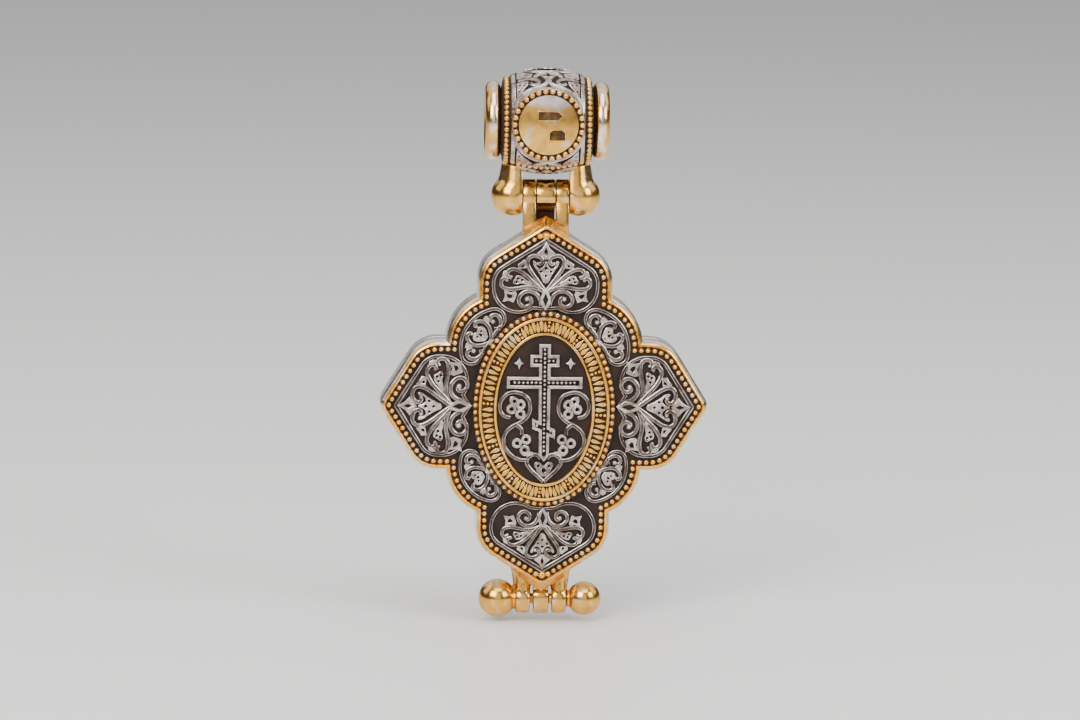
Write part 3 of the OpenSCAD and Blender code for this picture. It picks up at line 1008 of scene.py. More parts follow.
def spaced(line: Sequence[Spot], pitch: float) -> list[Spot]:
    """Sets points evenly along a closed line.

    Args:
        line: The closed line.
        pitch: Wished distance between two points.

    Returns:
        The points, the first one at the line's start.
    """
    loop = list(line) + [line[0]]
    lengths = [math.dist(a, b) for a, b in zip(loop, loop[1:])]
    total = sum(lengths)
    count = round(total / pitch)
    spots, run, i = [], 0.0, 0
    for k in range(count):
        want = total * k / count
        while run + lengths[i] < want:
            run += lengths[i]
            i += 1
        share = (want - run) / lengths[i]
        (u0, v0), (u1, v1) = loop[i], loop[i + 1]
        spots.append((u0 + (u1 - u0) * share, v0 + (v1 - v0) * share))
    return spots


def leaf_place(face: Face, drop: float = 0.0) -> Matrix:
    """Returns the place of what is drawn flat on a leaf.

    Args:
        face: The leaf's face.
        drop: Distance below the leaf's centre.

    Returns:
        The matrix from u, v and h to the shared frame, in millimetres.
    """
    return Matrix(((1, 0, 0, 0), (0, 0, face.value, 0), (0, 1, 0, LEAF_DROP - drop), (0, 0, 0, 1)))


@dataclass
class Pillow:
    """A domed field: its outline drawn in towards a middle while it rises."""

    outline: Sequence[Spot]
    middle: Spot
    foot: float
    rise: float
    wall: float = 0.3
    # Size of the last ring, as a share of the outline
    crown: float = 0.03
    # Turn and distance of each edge point from the middle, in order
    reach: list[Spot] = field(init=False)

    def __post_init__(self) -> None:
        """Measures the edge from the middle."""
        turns = [math.atan2(v - self.middle[1], u - self.middle[0]) for u, v in self.outline]
        self.reach = sorted((t, math.dist(p, self.middle)) for t, p in zip(turns, self.outline))

    def height(self, u: float, v: float) -> float:
        """Finds the field's height at a spot.

        Args:
            u: The spot, across.
            v: The spot, up.

        Returns:
            The height.
        """
        turn = math.atan2(v - self.middle[1], u - self.middle[0])
        far = math.dist((u, v), self.middle)
        before, after = self.reach[-1], self.reach[0]
        for nxt in self.reach:
            if nxt[0] >= turn:
                after = nxt
                break
            before = nxt
        gap = (after[0] - before[0]) % (2 * math.pi) or 1.0
        share = ((turn - before[0]) % (2 * math.pi)) / gap
        edge = before[1] + (after[1] - before[1]) * share
        return self.foot + self.rise * max(0.0, 1 - (far / edge) ** 2)

    def piece(self, name: str, steps: int = 8) -> Piece:
        """Builds the field, with a short wall below its edge.

        Args:
            name: Name of the piece.
            steps: Rings from the edge to the middle.

        Returns:
            The piece, wholly dark.
        """
        inner = [math.sin(math.pi / 2 * (1 - i / steps)) for i in range(1, steps)] + [self.crown]
        shares = [1.0, 1.0, *inner]
        heights = [self.foot - self.wall, self.foot, *(self.foot + self.rise * (1 - s * s) for s in inner)]
        cu, cv = self.middle
        stations = [[(cu + (u - cu) * s, cv + (v - cv) * s, h) for u, v in self.outline]
                    for s, h in zip(shares, heights)]
        piece = Bench.swept(name, stations)
        Bench.pick(piece)
        bpy.ops.object.mode_set(mode="EDIT")
        bpy.ops.mesh.select_all(action="DESELECT")
        bpy.ops.mesh.select_non_manifold()
        bpy.ops.mesh.edge_face_add()
        bpy.ops.mesh.select_all(action="SELECT")
        bpy.ops.mesh.normals_make_consistent(inside=False)
        bpy.ops.object.mode_set(mode="OBJECT")
        return Bench.evenly_rubbed(piece, 0.0)


def dot(u: float, v: float, r: float = 0.14) -> Line:
    """Draws a round hole of a dotted leaf."""
    return tuple(circle(u, v, r, 8))


def lozenge(u: float, v: float, half_u: float, half_v: float) -> Line:
    """Draws a lozenge."""
    return ((u - half_u, v), (u, v - half_v), (u + half_u, v), (u, v + half_v))


@dataclass(frozen=True)
class Drawing:
    """Ornament drawn flat: ribbons, leaves with their holes, blobs and ring-shaped berries."""

    ribbons: tuple[Line, ...] = ()
    leaves: tuple[tuple[Line, ...], ...] = ()
    cut_leaves: tuple[tuple[Line, ...], ...] = ()
    # Place and radius of each
    blobs: tuple[Place, ...] = ()
    rings: tuple[Place, ...] = ()
    width: float = 0.5
    high: float = 0.32
    groove: float = 0.6
    ring_width: float = 0.42
    leaf_edge: float = 0.09
    cut_edge: float = 0.07
    # Whether the mirror image is added
    twin: bool = True

    def pieces(self, name: str) -> list[Piece]:
        """Builds the drawing's pieces, lying flat with their feet at 0.

        Args:
            name: Name of the pieces.

        Returns:
            The pieces.
        """
        made = []
        if self.ribbons:
            made.append(Bench.ribbon(name, self.ribbons, self.width, self.high, groove=self.groove))
        if self.rings:
            made.append(Bench.ribbon(name, [dot(*ring) for ring in self.rings], self.ring_width,
                                     1.15 * self.high, cyclic=True, groove=0.05))
        made += [Bench.plaque(name, leaf, self.high, self.leaf_edge) for leaf in self.leaves]
        made += [Bench.plaque(name, leaf, self.high, self.cut_edge, Corner.SHARP) for leaf in self.cut_leaves]
        if self.blobs:
            blobs = [((u, v, -0.03), r) for u, v, r in self.blobs]
            made.append(Bench.strewn(name, Bench.bead(1.0, tall=1.1), blobs))
        for piece in made:
            Bench.rub_and_shade_by_height(piece, 0.1 * self.high, 0.8 * self.high)
        return [Bench.with_twin(p) for p in made] if self.twin else made


PALMETTE = Drawing(
    ribbons=(
        ((0, 2.15), (0.8, 3.28), (1.52, 4.26), (2.08, 5.23), (2.15, 5.95), (1.72, 6.4), (1.05, 6.42),
         (0.5, 6.1), (0.48, 5.65), (0.9, 5.42)),
        ((0.3, 2.25), (1.25, 3.1), (2.25, 4.05), (3.05, 4.6), (3.85, 4.85), (4.45, 4.6), (4.55, 4.05),
         (4.05, 3.85)),
        ((0.55, 2.4), (1.52, 2.72), (2.48, 2.74), (3.45, 2.56), (4.41, 2.5), (5.1, 2.72), (5.3, 3.28),
         (5.0, 3.75), (4.5, 3.6)),
        ((0.5, 0.5), (0.72, 1.34), (1.2, 2.0), (2.08, 2.25), (2.85, 1.9), (3.2, 1.2), (2.9, 0.57),
         (2.24, 0.4), (1.72, 0.85), (1.85, 1.4), (2.2, 1.45)),
    ),
    leaves=(
        (((1.6, 3.08), (2.25, 3.6), (2.9, 4.08), (3.45, 4.1), (3.7, 3.7), (3.9, 3.3), (3.5, 3.06),
          (2.9, 3.17), (2.3, 3.04)), dot(3.3, 3.75), dot(3.45, 3.35), dot(2.8, 3.6)),
    ),
    cut_leaves=(
        (((3.4, 1.9), (3.55, 2.3), (4.2, 2.12), (4.95, 2.4), (4.85, 1.65), (5.15, 0.9), (4.35, 1.08),
          (3.8, 0.85), (3.6, 1.3)), ((3.9, 1.65), (4.15, 1.85), (4.6, 1.9), (4.5, 1.5), (4.2, 1.35))),
        (((2.3, 5.0), (2.15, 5.5), (2.5, 6.1), (2.95, 5.7), (3.35, 5.45), (3.3, 4.85)),
         ((2.55, 5.15), (2.55, 5.5), (2.85, 5.3), (2.85, 5.1))),
        (((4.55, 4.25), (4.5, 4.75), (5.0, 4.6), (5.2, 4.15), (5.1, 3.7)),),
    ),
    blobs=((2.2, 1.3, 0.34), (0.95, 5.5, 0.28), (4.1, 3.95, 0.22), (4.6, 3.5, 0.22)),
    width=0.48,
)
PALMETTE_MIDDLE = Drawing(
    leaves=(
        (((0, 3.15), (0.65, 4.1), (1.1, 4.8), (1.5, 5.4), (1.5, 5.85), (1.22, 5.75), (1.1, 5.2), (0.65, 5.0),
          (0.25, 5.35), (0, 5.85), (-0.25, 5.35), (-0.65, 5.0), (-1.1, 5.2), (-1.22, 5.75), (-1.5, 5.85),
          (-1.5, 5.4), (-1.1, 4.8), (-0.65, 4.1)),
         dot(0, 5.0, 0.17), dot(0, 4.1), dot(0.6, 4.6), dot(-0.6, 4.6)),
    ),
    cut_leaves=(
        (((0, 8.1), (0.5, 7.25), (1.1, 6.75), (0.45, 6.35), (0, 5.95), (-0.45, 6.35), (-1.1, 6.75),
          (-0.5, 7.25)), lozenge(0, 6.95, 0.22, 0.5)),
        (((0, -0.15), (0.66, 0.8), (0.58, 1.6), (0.3, 2.4), (-0.3, 2.4), (-0.58, 1.6), (-0.66, 0.8)),
         lozenge(0, 1.25, 0.32, 0.8)),
    ),
    twin=False,
)
CORNER_SCROLL = Drawing(
    ribbons=(
        ((1.3, 0), (1.5, 0.9), (1.45, 1.9), (1.85, 2.75), (2.6, 2.95), (3.0, 2.4), (2.6, 1.95)),
        ((1.3, 0), (2.1, 1.0), (2.9, 1.45), (3.75, 1.3), (4.1, 0.75), (3.75, 0.4)),
    ),
    leaves=(
        (((1.95, 0), (2.5, 0.75), (3.2, 0.95), (3.55, 0.45), (3.35, 0)),
         dot(2.45, 0.15, 0.12), dot(3.0, 0.4, 0.12)),
    ),
    cut_leaves=((((2.75, 1.65), (3.3, 1.55), (3.7, 1.75), (3.5, 2.3), (3.0, 2.2)),),
                (((0.75, 0), (1.3, 0.5), (1.75, 0), (1.3, -0.05)),)),
    blobs=((2.45, 2.05, 0.32), (3.7, 0.5, 0.24)),
    width=0.46,
)


@dataclass(frozen=True)
class Panel:
    """One of the four pointed panels of a leaf, drawn upright."""

    # Distance of its lobe's point from the leaf's centre, and half width of the lobe
    tip: float
    half: float
    # Heights of its rounded sides' centre and of its inner point
    bulge_v: float
    foot: float
    # Its turn about the leaf's centre, in degrees
    turn: float
    bulge: float = 3.0
    bulge_end: float = -125.0
    bulge_steps: int = 18
    # How far its field runs under its border
    field_lap: float = 0.05
    field_foot: float = 3.2
    field_rise: float = 0.4
    # How far the palmette runs past the border's middle, and its height as drawn
    palmette_lap: float = 0.1
    palmette_tall: float = 8.5

    def outline(self, d: float) -> list[Spot]:
        """Draws the panel's outline, d outside its border.

        Args:
            d: Distance outside the middle of its border.

        Returns:
            The closed line.
        """
        half = OUTLINE.lobe(self.tip, self.half, d - BORDER_INSET)
        half += arc(self.half - BORDER_INSET - self.bulge, self.bulge_v, self.bulge + d,
                    0, self.bulge_end, self.bulge_steps)
        half.append((0.0, self.foot - d))
        return half + mirrored(half[1:-1])[::-1]

    def pillow(self) -> Pillow:
        """Returns the panel's domed field."""
        return Pillow(self.outline(self.field_lap), (0.0, self.bulge_v), self.field_foot, self.field_rise)

    def turned(self) -> Matrix:
        """Returns the panel's turn about the leaf's centre."""
        return Matrix.Rotation(math.radians(self.turn), 4, "Z")

    def fit(self) -> Matrix:
        """Fits the palmette between the panel's two points.

        Returns:
            Its size and place in the panel.
        """
        slope = math.cos(math.radians(OUTLINE.flank))
        size = (self.tip - (BORDER_INSET - self.palmette_lap) / slope - self.foot) / self.palmette_tall
        return Matrix.Translation((0, self.foot, 0)) @ Matrix.Scale(size, 4)


# Upper, right, lower and left panel
PANELS = (
    Panel(OUTLINE.tip_tall, OUTLINE.half_tall, bulge_v=14.0, foot=11.4, turn=0),
    Panel(OUTLINE.tip_wide, OUTLINE.half_wide, bulge_v=11.9, foot=8.6, turn=-90),
    Panel(OUTLINE.tip_tall, OUTLINE.half_tall, bulge_v=14.4, foot=12.1, turn=180),
    Panel(OUTLINE.tip_wide, OUTLINE.half_wide, bulge_v=11.9, foot=8.6, turn=90),
)


@dataclass
class Layer(ABC):
    """What a leaf and its medallion share: sections carried round an outline."""

    face: Face
    body: Body
    # Distance of its centre below the leaf's centre
    drop: float = 0.0

    @abstractmethod
    def edge(self, d: float) -> list[Spot]:
        """Draws the outline, d outside its bead row."""

    def name(self, part: str) -> str:
        """Names a piece after its leaf."""
        return f"{self.face.name.lower()}_{part}"

    def carried(self, part: str, section: Sequence[Spot], closed: bool = True,
                bare: Sequence[float] = ()) -> Piece:
        """Carries a section round the outline.

        Args:
            part: What the piece is.
            section: Points of distance outside the bead row and height.
            closed: Whether the section closes on itself. An open one is filled at both ends.
            bare: How far the gilding is worn through at each point of the section.

        Returns:
            The piece.
        """
        stations = [[(u, v, h) for u, v in self.edge(d)] for d, h in section]
        return Bench.swept(self.name(part), stations, closed=closed, capped=not closed, bare=bare)

    def set_in(self, piece: Piece, finish: MetalFinish, stands_for: Sequence[str] = ()) -> Piece:
        """Puts a finished piece in its place on the leaf.

        Args:
            piece: The piece, drawn flat in millimetres.
            finish: Its metal.
            stands_for: The solids that it replaces.

        Returns:
            The piece.
        """
        return Bench.set_in(piece, leaf_place(self.face, self.drop), self.body, finish, stands_for)


@dataclass
class Leaf(Layer):
    """One leaf: silver wall, gilt rim with its bead row, and the ground with its panels."""

    # Sections: distance outside the bead row, height, and on the rim how far its gilding is worn
    wall: Line = ((-0.3, 0.05), (1.02, 0.05), (1.1, 0.14), (1.1, 1.6), (1.09, 1.95), (1.06, 2.25),
                  (1.01, 2.5), (0.94, 2.72), (0.8, 2.6), (-0.3, 2.3))
    rim: tuple[Place, ...] = ((0.8, 2.36, 1.0), (1.07, 2.4, 1.0), (1.06, 2.56, 1.0), (1.02, 2.73, 0.95),
                              (0.95, 2.89, 0.8), (0.86, 3.03, 0.5), (0.76, 3.14, 0.2), (0.66, 3.22, 0.0),
                              (0.51, 3.27, 0.0), (0.43, 3.2, 0.0), (0.375, 3.06, 0.0), (0.36, 2.85, 0.0),
                              (0.36, 2.3, 0.0))
    bed: Line = ((0.36, 2.3), (0.36, 3.05))
    # Bead row, with the sizes of the bead at a point and of its neighbours
    bead_foot: float = 3.05
    bead_r: float = 0.33
    pitch: float = 0.79
    top_beads: Spot = (1.65, 1.25)
    low_beads: Spot = (1.5, 1.15)
    # How far the beads at the upper and lower points are drawn in
    drawn_in: Spot = (0.32, 0.25)
    border_high: float = 0.3
    border_foot: float = 3.15
    border_in: float = 0.1
    # Dark and bright height of plain panels
    plain_rub: Spot = (3.1, 3.4)
    field_finish: MetalFinish = SATIN_SILVER

    def edge(self, d: float) -> list[Spot]:
        """Draws the leaf's outline, d outside its bead row."""
        return OUTLINE.ring(d)

    def build(self) -> None:
        """Builds the parts that both leaves share."""
        self.set_in(self.carried("wall", self.wall), SIDE_SILVER, [self.name("frame")])
        rim = self.carried("rim", [(d, h) for d, h, _ in self.rim], bare=[worn for _, _, worn in self.rim])
        self.set_in(rim, GILT_RIM, [self.name("plate")])
        self.set_in(Bench.evenly_rubbed(self.carried("ground", self.bed, closed=False), 0.0), DARK_SILVER)
        self.set_in(self.beads(), GILT_RIM)
        fields = Bench.joined(self.name("fields"), [
            self.turned_copy(panel.pillow().piece(self.name("field")), panel) for panel in PANELS])
        if self.face is Face.BACK:
            Bench.rub_and_shade_by_height(fields, *self.plain_rub)
        self.set_in(fields, self.field_finish)
        self.set_in(self.borders(), DARK_SILVER)

    @staticmethod
    def turned_copy(piece: Piece, panel: Panel) -> Piece:
        """Turns a panel's piece to its lobe."""
        piece.data.transform(panel.turned())
        return piece

    def beads(self) -> Piece:
        """Sets the row of beads, the ones at the two points larger.

        Returns:
            The row as one piece.
        """
        spots = spaced(self.edge(0), self.pitch)
        last, middle = len(spots) - 1, len(spots) // 2
        top, by_top = self.top_beads
        low, by_low = self.low_beads
        sizes = {0: top, 1: by_top, last: by_top, middle: low, middle - 1: by_low, middle + 1: by_low}
        drawn_in = {0: self.drawn_in[0], middle: self.drawn_in[1]}
        return Bench.strewn(self.name("beads"), Bench.bead(self.bead_r), [
            ((u, v - math.copysign(drawn_in.get(i, 0.0), v), self.bead_foot), sizes.get(i, 1.0))
            for i, (u, v) in enumerate(spots)])

    def borders(self) -> Piece:
        """Lays the grooved border round each panel.

        Returns:
            The four borders as one piece.
        """
        rows = []
        for panel in PANELS:
            row = Bench.ribbon(self.name("border"), [panel.outline(-self.border_in)], BORDER_WIDTH,
                               self.border_high, Corner.SHARP, True, BORDER_GROOVE)
            Bench.rub_and_shade_by_height(row, *BORDER_RUB)
            row.data.transform(panel.turned() @ Matrix.Translation((0, 0, self.border_foot)))
            rows.append(row)
        return Bench.joined(self.name("borders"), rows)


@dataclass
class FrontLeaf(Leaf):
    """The leaf with the ornamented panels."""

    face: Face = Face.FRONT
    body: Body = Body.FRONT
    field_finish: MetalFinish = DARK_SILVER
    # Turn of a diagonal panel in degrees, and size of the lower ones against the upper ones
    corner_turn: float = 33.0
    corner_low: float = 0.92
    # Its border's reach from the lobe's centre, and distance and turn of its two curled ends
    corner_reach: float = OUTLINE.corner - BORDER_INSET
    corner_at: float = 3.5
    corner_open: float = 45.0
    corner_high: float = 0.32

    def build(self) -> None:
        """Builds the shared parts and the ornament."""
        super().build()
        drawn = PALMETTE.pieces("palmette") + PALMETTE_MIDDLE.pieces("palmette_middle")
        pattern = Bench.joined("palmette", drawn)
        palmettes = []
        for panel in PANELS:
            copy = Bench.copied(pattern, panel.fit())
            Bench.draped(copy, panel.pillow().height)
            palmettes.append(self.turned_copy(copy, panel))
        bpy.data.objects.remove(pattern)
        self.set_in(Bench.joined("front_palmettes", palmettes), DARK_SILVER)
        self.set_in(self.corners(), DARK_SILVER)

    def corner_border(self) -> list[Spot]:
        """Draws the border of a diagonal panel, with outwards to the right.

        Returns:
            The line, its two ends curled inwards.
        """
        r = self.corner_reach - 0.05 - self.corner_at
        turn = math.radians(self.corner_open)
        cu, cv = self.corner_at * math.cos(turn), self.corner_at * math.sin(turn)
        outer = arc(0, 0, self.corner_at + r, -40, 40, 14)
        return arc(cu, -cv, r, -240, -50, 10) + outer + arc(cu, cv, r, 50, 240, 10)

    def corners(self) -> Piece:
        """Builds the four diagonal panels.

        Returns:
            The panels as one piece.
        """
        half = CORNER_SCROLL.pieces("corner")
        flipped = [Bench.copied(piece, FLIP_UP) for piece in half]
        border = Bench.ribbon("corner", [self.corner_border()], BORDER_WIDTH, self.corner_high,
                              groove=BORDER_GROOVE)
        Bench.rub_and_shade_by_height(border, *BORDER_RUB)
        pattern = Bench.joined("corner", [*half, *flipped, border])
        made = []
        for down, size in ((1, 1.0), (-1, self.corner_low)):
            place = (Matrix.Scale(down, 4, (0, 1, 0))
                     @ Matrix.Translation((OUTLINE.corner_u, OUTLINE.corner_v, self.bead_foot))
                     @ Matrix.Rotation(math.radians(self.corner_turn), 4, "Z")
                     @ Matrix.Translation((self.corner_reach * (1 - size), 0, 0)) @ Matrix.Scale(size, 4))
            made.append(Bench.with_twin(Bench.copied(pattern, place)))
        bpy.data.objects.remove(pattern)
        return Bench.joined("front_corner_panels", made)


# Medallions


@dataclass
class Medallion(Layer):
    """The raised oval: bead row, gilt rims and band, and the well inside them."""

    drop: float = 0.3
    # Half width and half height of the bead row
    a: float = 8.04
    b: float = 11.24
    oval_steps: int = 144
    bead_foot: float = 3.5
    bead_r: float = 0.335
    beads_round: int = 76
    # Sections: distance outside the bead row and height
    step: Line = ((0.32, 3.0), (0.32, 3.42), (0.26, 3.5), (-0.5, 3.5), (-0.5, 3.0))
    rim: Line = ((-0.34, 3.4), (-0.36, 4.05), (-0.41, 4.16), (-0.5, 4.21), (-0.62, 4.2), (-0.7, 4.13),
                 (-0.74, 3.95), (-0.74, 3.4))
    well_rim: Line = ((-2.08, 3.5), (-2.1, 4.12), (-2.16, 4.24), (-2.27, 4.29), (-2.4, 4.27),
                      (-2.5, 4.17), (-2.56, 3.9), (-2.56, 3.5))
    band: Line = ((-0.6, 3.4), (-0.6, 3.85), (-2.2, 3.9), (-2.2, 3.4))
    well_edge: float = -2.4
    well_foot: float = 3.85
    well_rise: float = 0.12
    # Dark and bright height of a plain well
    plain_rub: Spot = (3.8, 3.9)
    field_finish: MetalFinish = SATIN_SILVER

    def edge(self, d: float) -> list[Spot]:
        """Draws the oval, d outside its bead row.

        Args:
            d: Distance outside the bead row.

        Returns:
            The closed line, from its right end anticlockwise.
        """
        turns = [2 * math.pi * i / self.oval_steps for i in range(self.oval_steps)]
        return [((self.a + d) * math.cos(t), (self.b + d) * math.sin(t)) for t in turns]

    def well(self) -> Pillow:
        """Returns the domed ground of the well."""
        return Pillow(self.edge(self.well_edge), (0.0, 0.0), self.well_foot, self.well_rise)

    def build(self) -> None:
        """Builds the parts that both medallions share."""
        step = Bench.rub_and_shade_by_height(self.carried("oval_step", self.step), 3.3, 4.2)
        self.set_in(step, DARK_SILVER, [self.name("medallion")])
        self.set_in(self.carried("oval_rim", self.rim), GILT_RIM)
        self.set_in(self.carried("well_rim", self.well_rim), GILT_POLISHED)
        girth = 2 * math.pi * math.sqrt((self.a ** 2 + self.b ** 2) / 2)
        spots = [((u, v, self.bead_foot), 1.0) for u, v in spaced(self.edge(0), girth / self.beads_round)]
        self.set_in(Bench.strewn(self.name("oval_beads"), Bench.bead(self.bead_r, tall=1.1), spots), GILT_RIM)
        well = self.well().piece(self.name("well"))
        if self.face is Face.BACK:
            Bench.rub_and_shade_by_height(well, *self.plain_rub)
        self.set_in(well, self.field_finish)
        self.set_in(Bench.rub_and_shade_by_height(self.carried("band", self.band), 3.8, 4.6), GILT_RIM)


VINE = Drawing(
    ribbons=(
        ((3.95, -0.95), (4.8, -0.65), (5.2, 0.35), (4.85, 1.4), (4.0, 2.0), (3.0, 2.0), (2.05, 1.5),
         (1.65, 0.45), (1.9, -0.65), (2.7, -1.45), (3.75, -2.0), (4.55, -2.85), (4.7, -3.95), (4.15, -5.05),
         (3.0, -5.85), (1.9, -6.0)),
        ((3.3, -1.75), (2.65, -2.3), (2.6, -2.95)),
        ((0.35, -5.75), (0.9, -5.3), (1.65, -5.5), (2.0, -6.15), (1.6, -6.95), (0.8, -7.75), (0, -8.5)),
    ),
    cut_leaves=((((3.0, 6.25), (3.2, 5.7), (3.6, 5.5), (3.2, 5.3), (3.0, 4.75), (2.8, 5.3), (2.4, 5.5),
                  (2.8, 5.7)),),),
    rings=((2.8, 0.62, 0.42), (3.85, 0.08, 0.42), (2.8, -0.5, 0.42), (2.1, -3.5, 0.42), (3.15, -3.95, 0.42),
           (2.25, -4.75, 0.42)),
    leaves=(
        (((2.9, 0.8), (3.1, 1.3), (3.95, 1.55), (4.05, 0.9), (3.7, 0.5), (3.2, 0.3)), dot(3.5, 1.0, 0.2)),
        (((1.1, -5.15), (1.8, -5.45), (2.6, -5.3), (2.6, -5.0), (2.2, -5.05), (1.8, -4.9)),),
        (((0, -6.55), (0.5, -6.15), (1.1, -6.3), (0.95, -6.95), (0, -7.95), (-0.95, -6.95), (-1.1, -6.3),
          (-0.5, -6.15)), dot(0, -7.15, 0.24), dot(0.62, -6.6, 0.15), dot(-0.62, -6.6, 0.15)),
    ),
    width=0.46, high=0.4,
)


@dataclass
class FrontMedallion(Medallion):
    """The medallion with the three-bar cross."""

    face: Face = Face.FRONT
    body: Body = Body.FRONT
    field_finish: MetalFinish = DARK_SILVER
    # Motifs round the band: their number, distance inside the bead row and height of their feet
    motifs: int = 96
    motif_in: float = 1.4
    motif_foot: float = 3.86

    def build(self) -> None:
        """Builds the shared parts, the band's motifs, the cross and the vine."""
        super().build()
        self.set_in(self.band_motifs(), GILT_RIM)
        well = self.well()
        relief = Bench.joined("front_cross_and_vine", [self.cross(), *VINE.pieces("vine")])
        self.set_in(Bench.draped(relief, well.height), DARK_SILVER)

    def band_motifs(self) -> Piece:
        """Sets petals, pointing in and out by turns, and rows of berries round the gilt band.

        Returns:
            The motifs as one piece.
        """
        half = [(0.68, 0.0), (0.25, 0.13), (-0.2, 0.24), (-0.52, 0.2), (-0.68, 0.0)]
        petal = Bench.plaque("motif", [half + [(u, -v) for u, v in half[-2:0:-1]]], 0.3, 0.04, Corner.SHARP)
        inward = Bench.copied(petal, Matrix.Rotation(math.pi, 4, "Z"))
        berries = Bench.strewn("motif", Bench.bead(0.22, around=10, tall=1.2),
                               [((u, 0, 0), 1.0) for u in (-0.46, 0.0, 0.46)])
        cycle = 3 * (petal, inward) + (petal, berries)
        made = []
        for i in range(self.motifs):
            turn = 2 * math.pi * i / self.motifs
            u, v = (self.a - self.motif_in) * math.cos(turn), (self.b - self.motif_in) * math.sin(turn)
            out = math.atan2(v / self.b ** 2, u / self.a ** 2)
            spot = Matrix.Translation((u, v, self.motif_foot)) @ Matrix.Rotation(out, 4, "Z")
            made.append(Bench.copied(cycle[i % len(cycle)], spot))
        for pattern in (petal, inward, berries):
            bpy.data.objects.remove(pattern)
        return Bench.rub_and_shade_by_height(Bench.joined("front_band_motifs", made), 3.8, 4.05)

    @staticmethod
    def cross_line(g: float) -> list[Spot]:
        """Draws the outline of the three-bar cross.

        Args:
            g: How far it is grown.

        Returns:
            The closed line, from the top clockwise.
        """
        slope = 0.42
        post, top = 0.66 + g, 7.72 + g
        short, short_top, short_low = 1.68 + g, 6.46 + g, 5.1 - g
        wide, wide_top, wide_low = 4.4 + g, 3.86 + g, 2.53 - g
        upper = [(post, top), (post, short_top), (short, short_top), (short, short_low), (post, short_low),
                 (post, wide_top), (wide, wide_top), (wide, wide_low), (post, wide_low)]
        # The slanted footrest is lower on the right
        right = [(0.64 + g, -1.98 + g), (1.27 + g, -1.98 - 0.63 * slope + g), (1.27 + g, -3.32 - g),
                 (0.6 + g, -3.32 + 0.67 * slope - g), (0.56 + g, -5.4)]
        left = [(-0.56 - g, -5.4), (-0.6 - g, -2.6 - g), (-1.4 - g, -2.6 + 0.8 * slope - g),
                (-1.4 - g, -1.1 + g), (-0.64 - g, -1.1 - 0.76 * slope + g)]
        return upper + right + [(0.0, -6.0 - g)] + left + mirrored(upper)[::-1]

    def cross(self) -> Piece:
        """Builds the cross: a raised outline with rows of beads along its bars.

        Returns:
            The cross, lying flat with its foot at 0.
        """
        outline = Bench.ribbon("cross", [self.cross_line(-0.16)], 0.42, 0.44, Corner.SHARP, True, 0.1)
        post = [((0.0, 7.1 - 0.52 * i, 0.0), 1.0) for i in range(24)]
        top = [((0.5 * i, 5.78, 0.0), 1.0) for i in (-2, -1, 1, 2)]
        main = [((0.5 * i, 3.2, 0.0), 1.0) for i in range(-7, 8) if i]
        foot = [((0.5 * i, -2.2 - 0.21 * i, 0.0), 1.0) for i in (-1.7, 1.5)]
        beads = Bench.strewn("cross", Bench.bead(0.235, around=10, tall=1.6), post + top + main + foot)
        return Bench.joined("cross", [Bench.rub_and_shade_by_height(outline, 0.06, 0.34), beads])


# Hinge and clasp


def side_place(x: float, z: float) -> Matrix:
    """Returns the place of a side view drawn flat: right is +Y, up is +Z, thickness along +X."""
    return Matrix(((0, 0, 1, x), (1, 0, 0, 0), (0, 1, 0, z), (0, 0, 0, 1)))


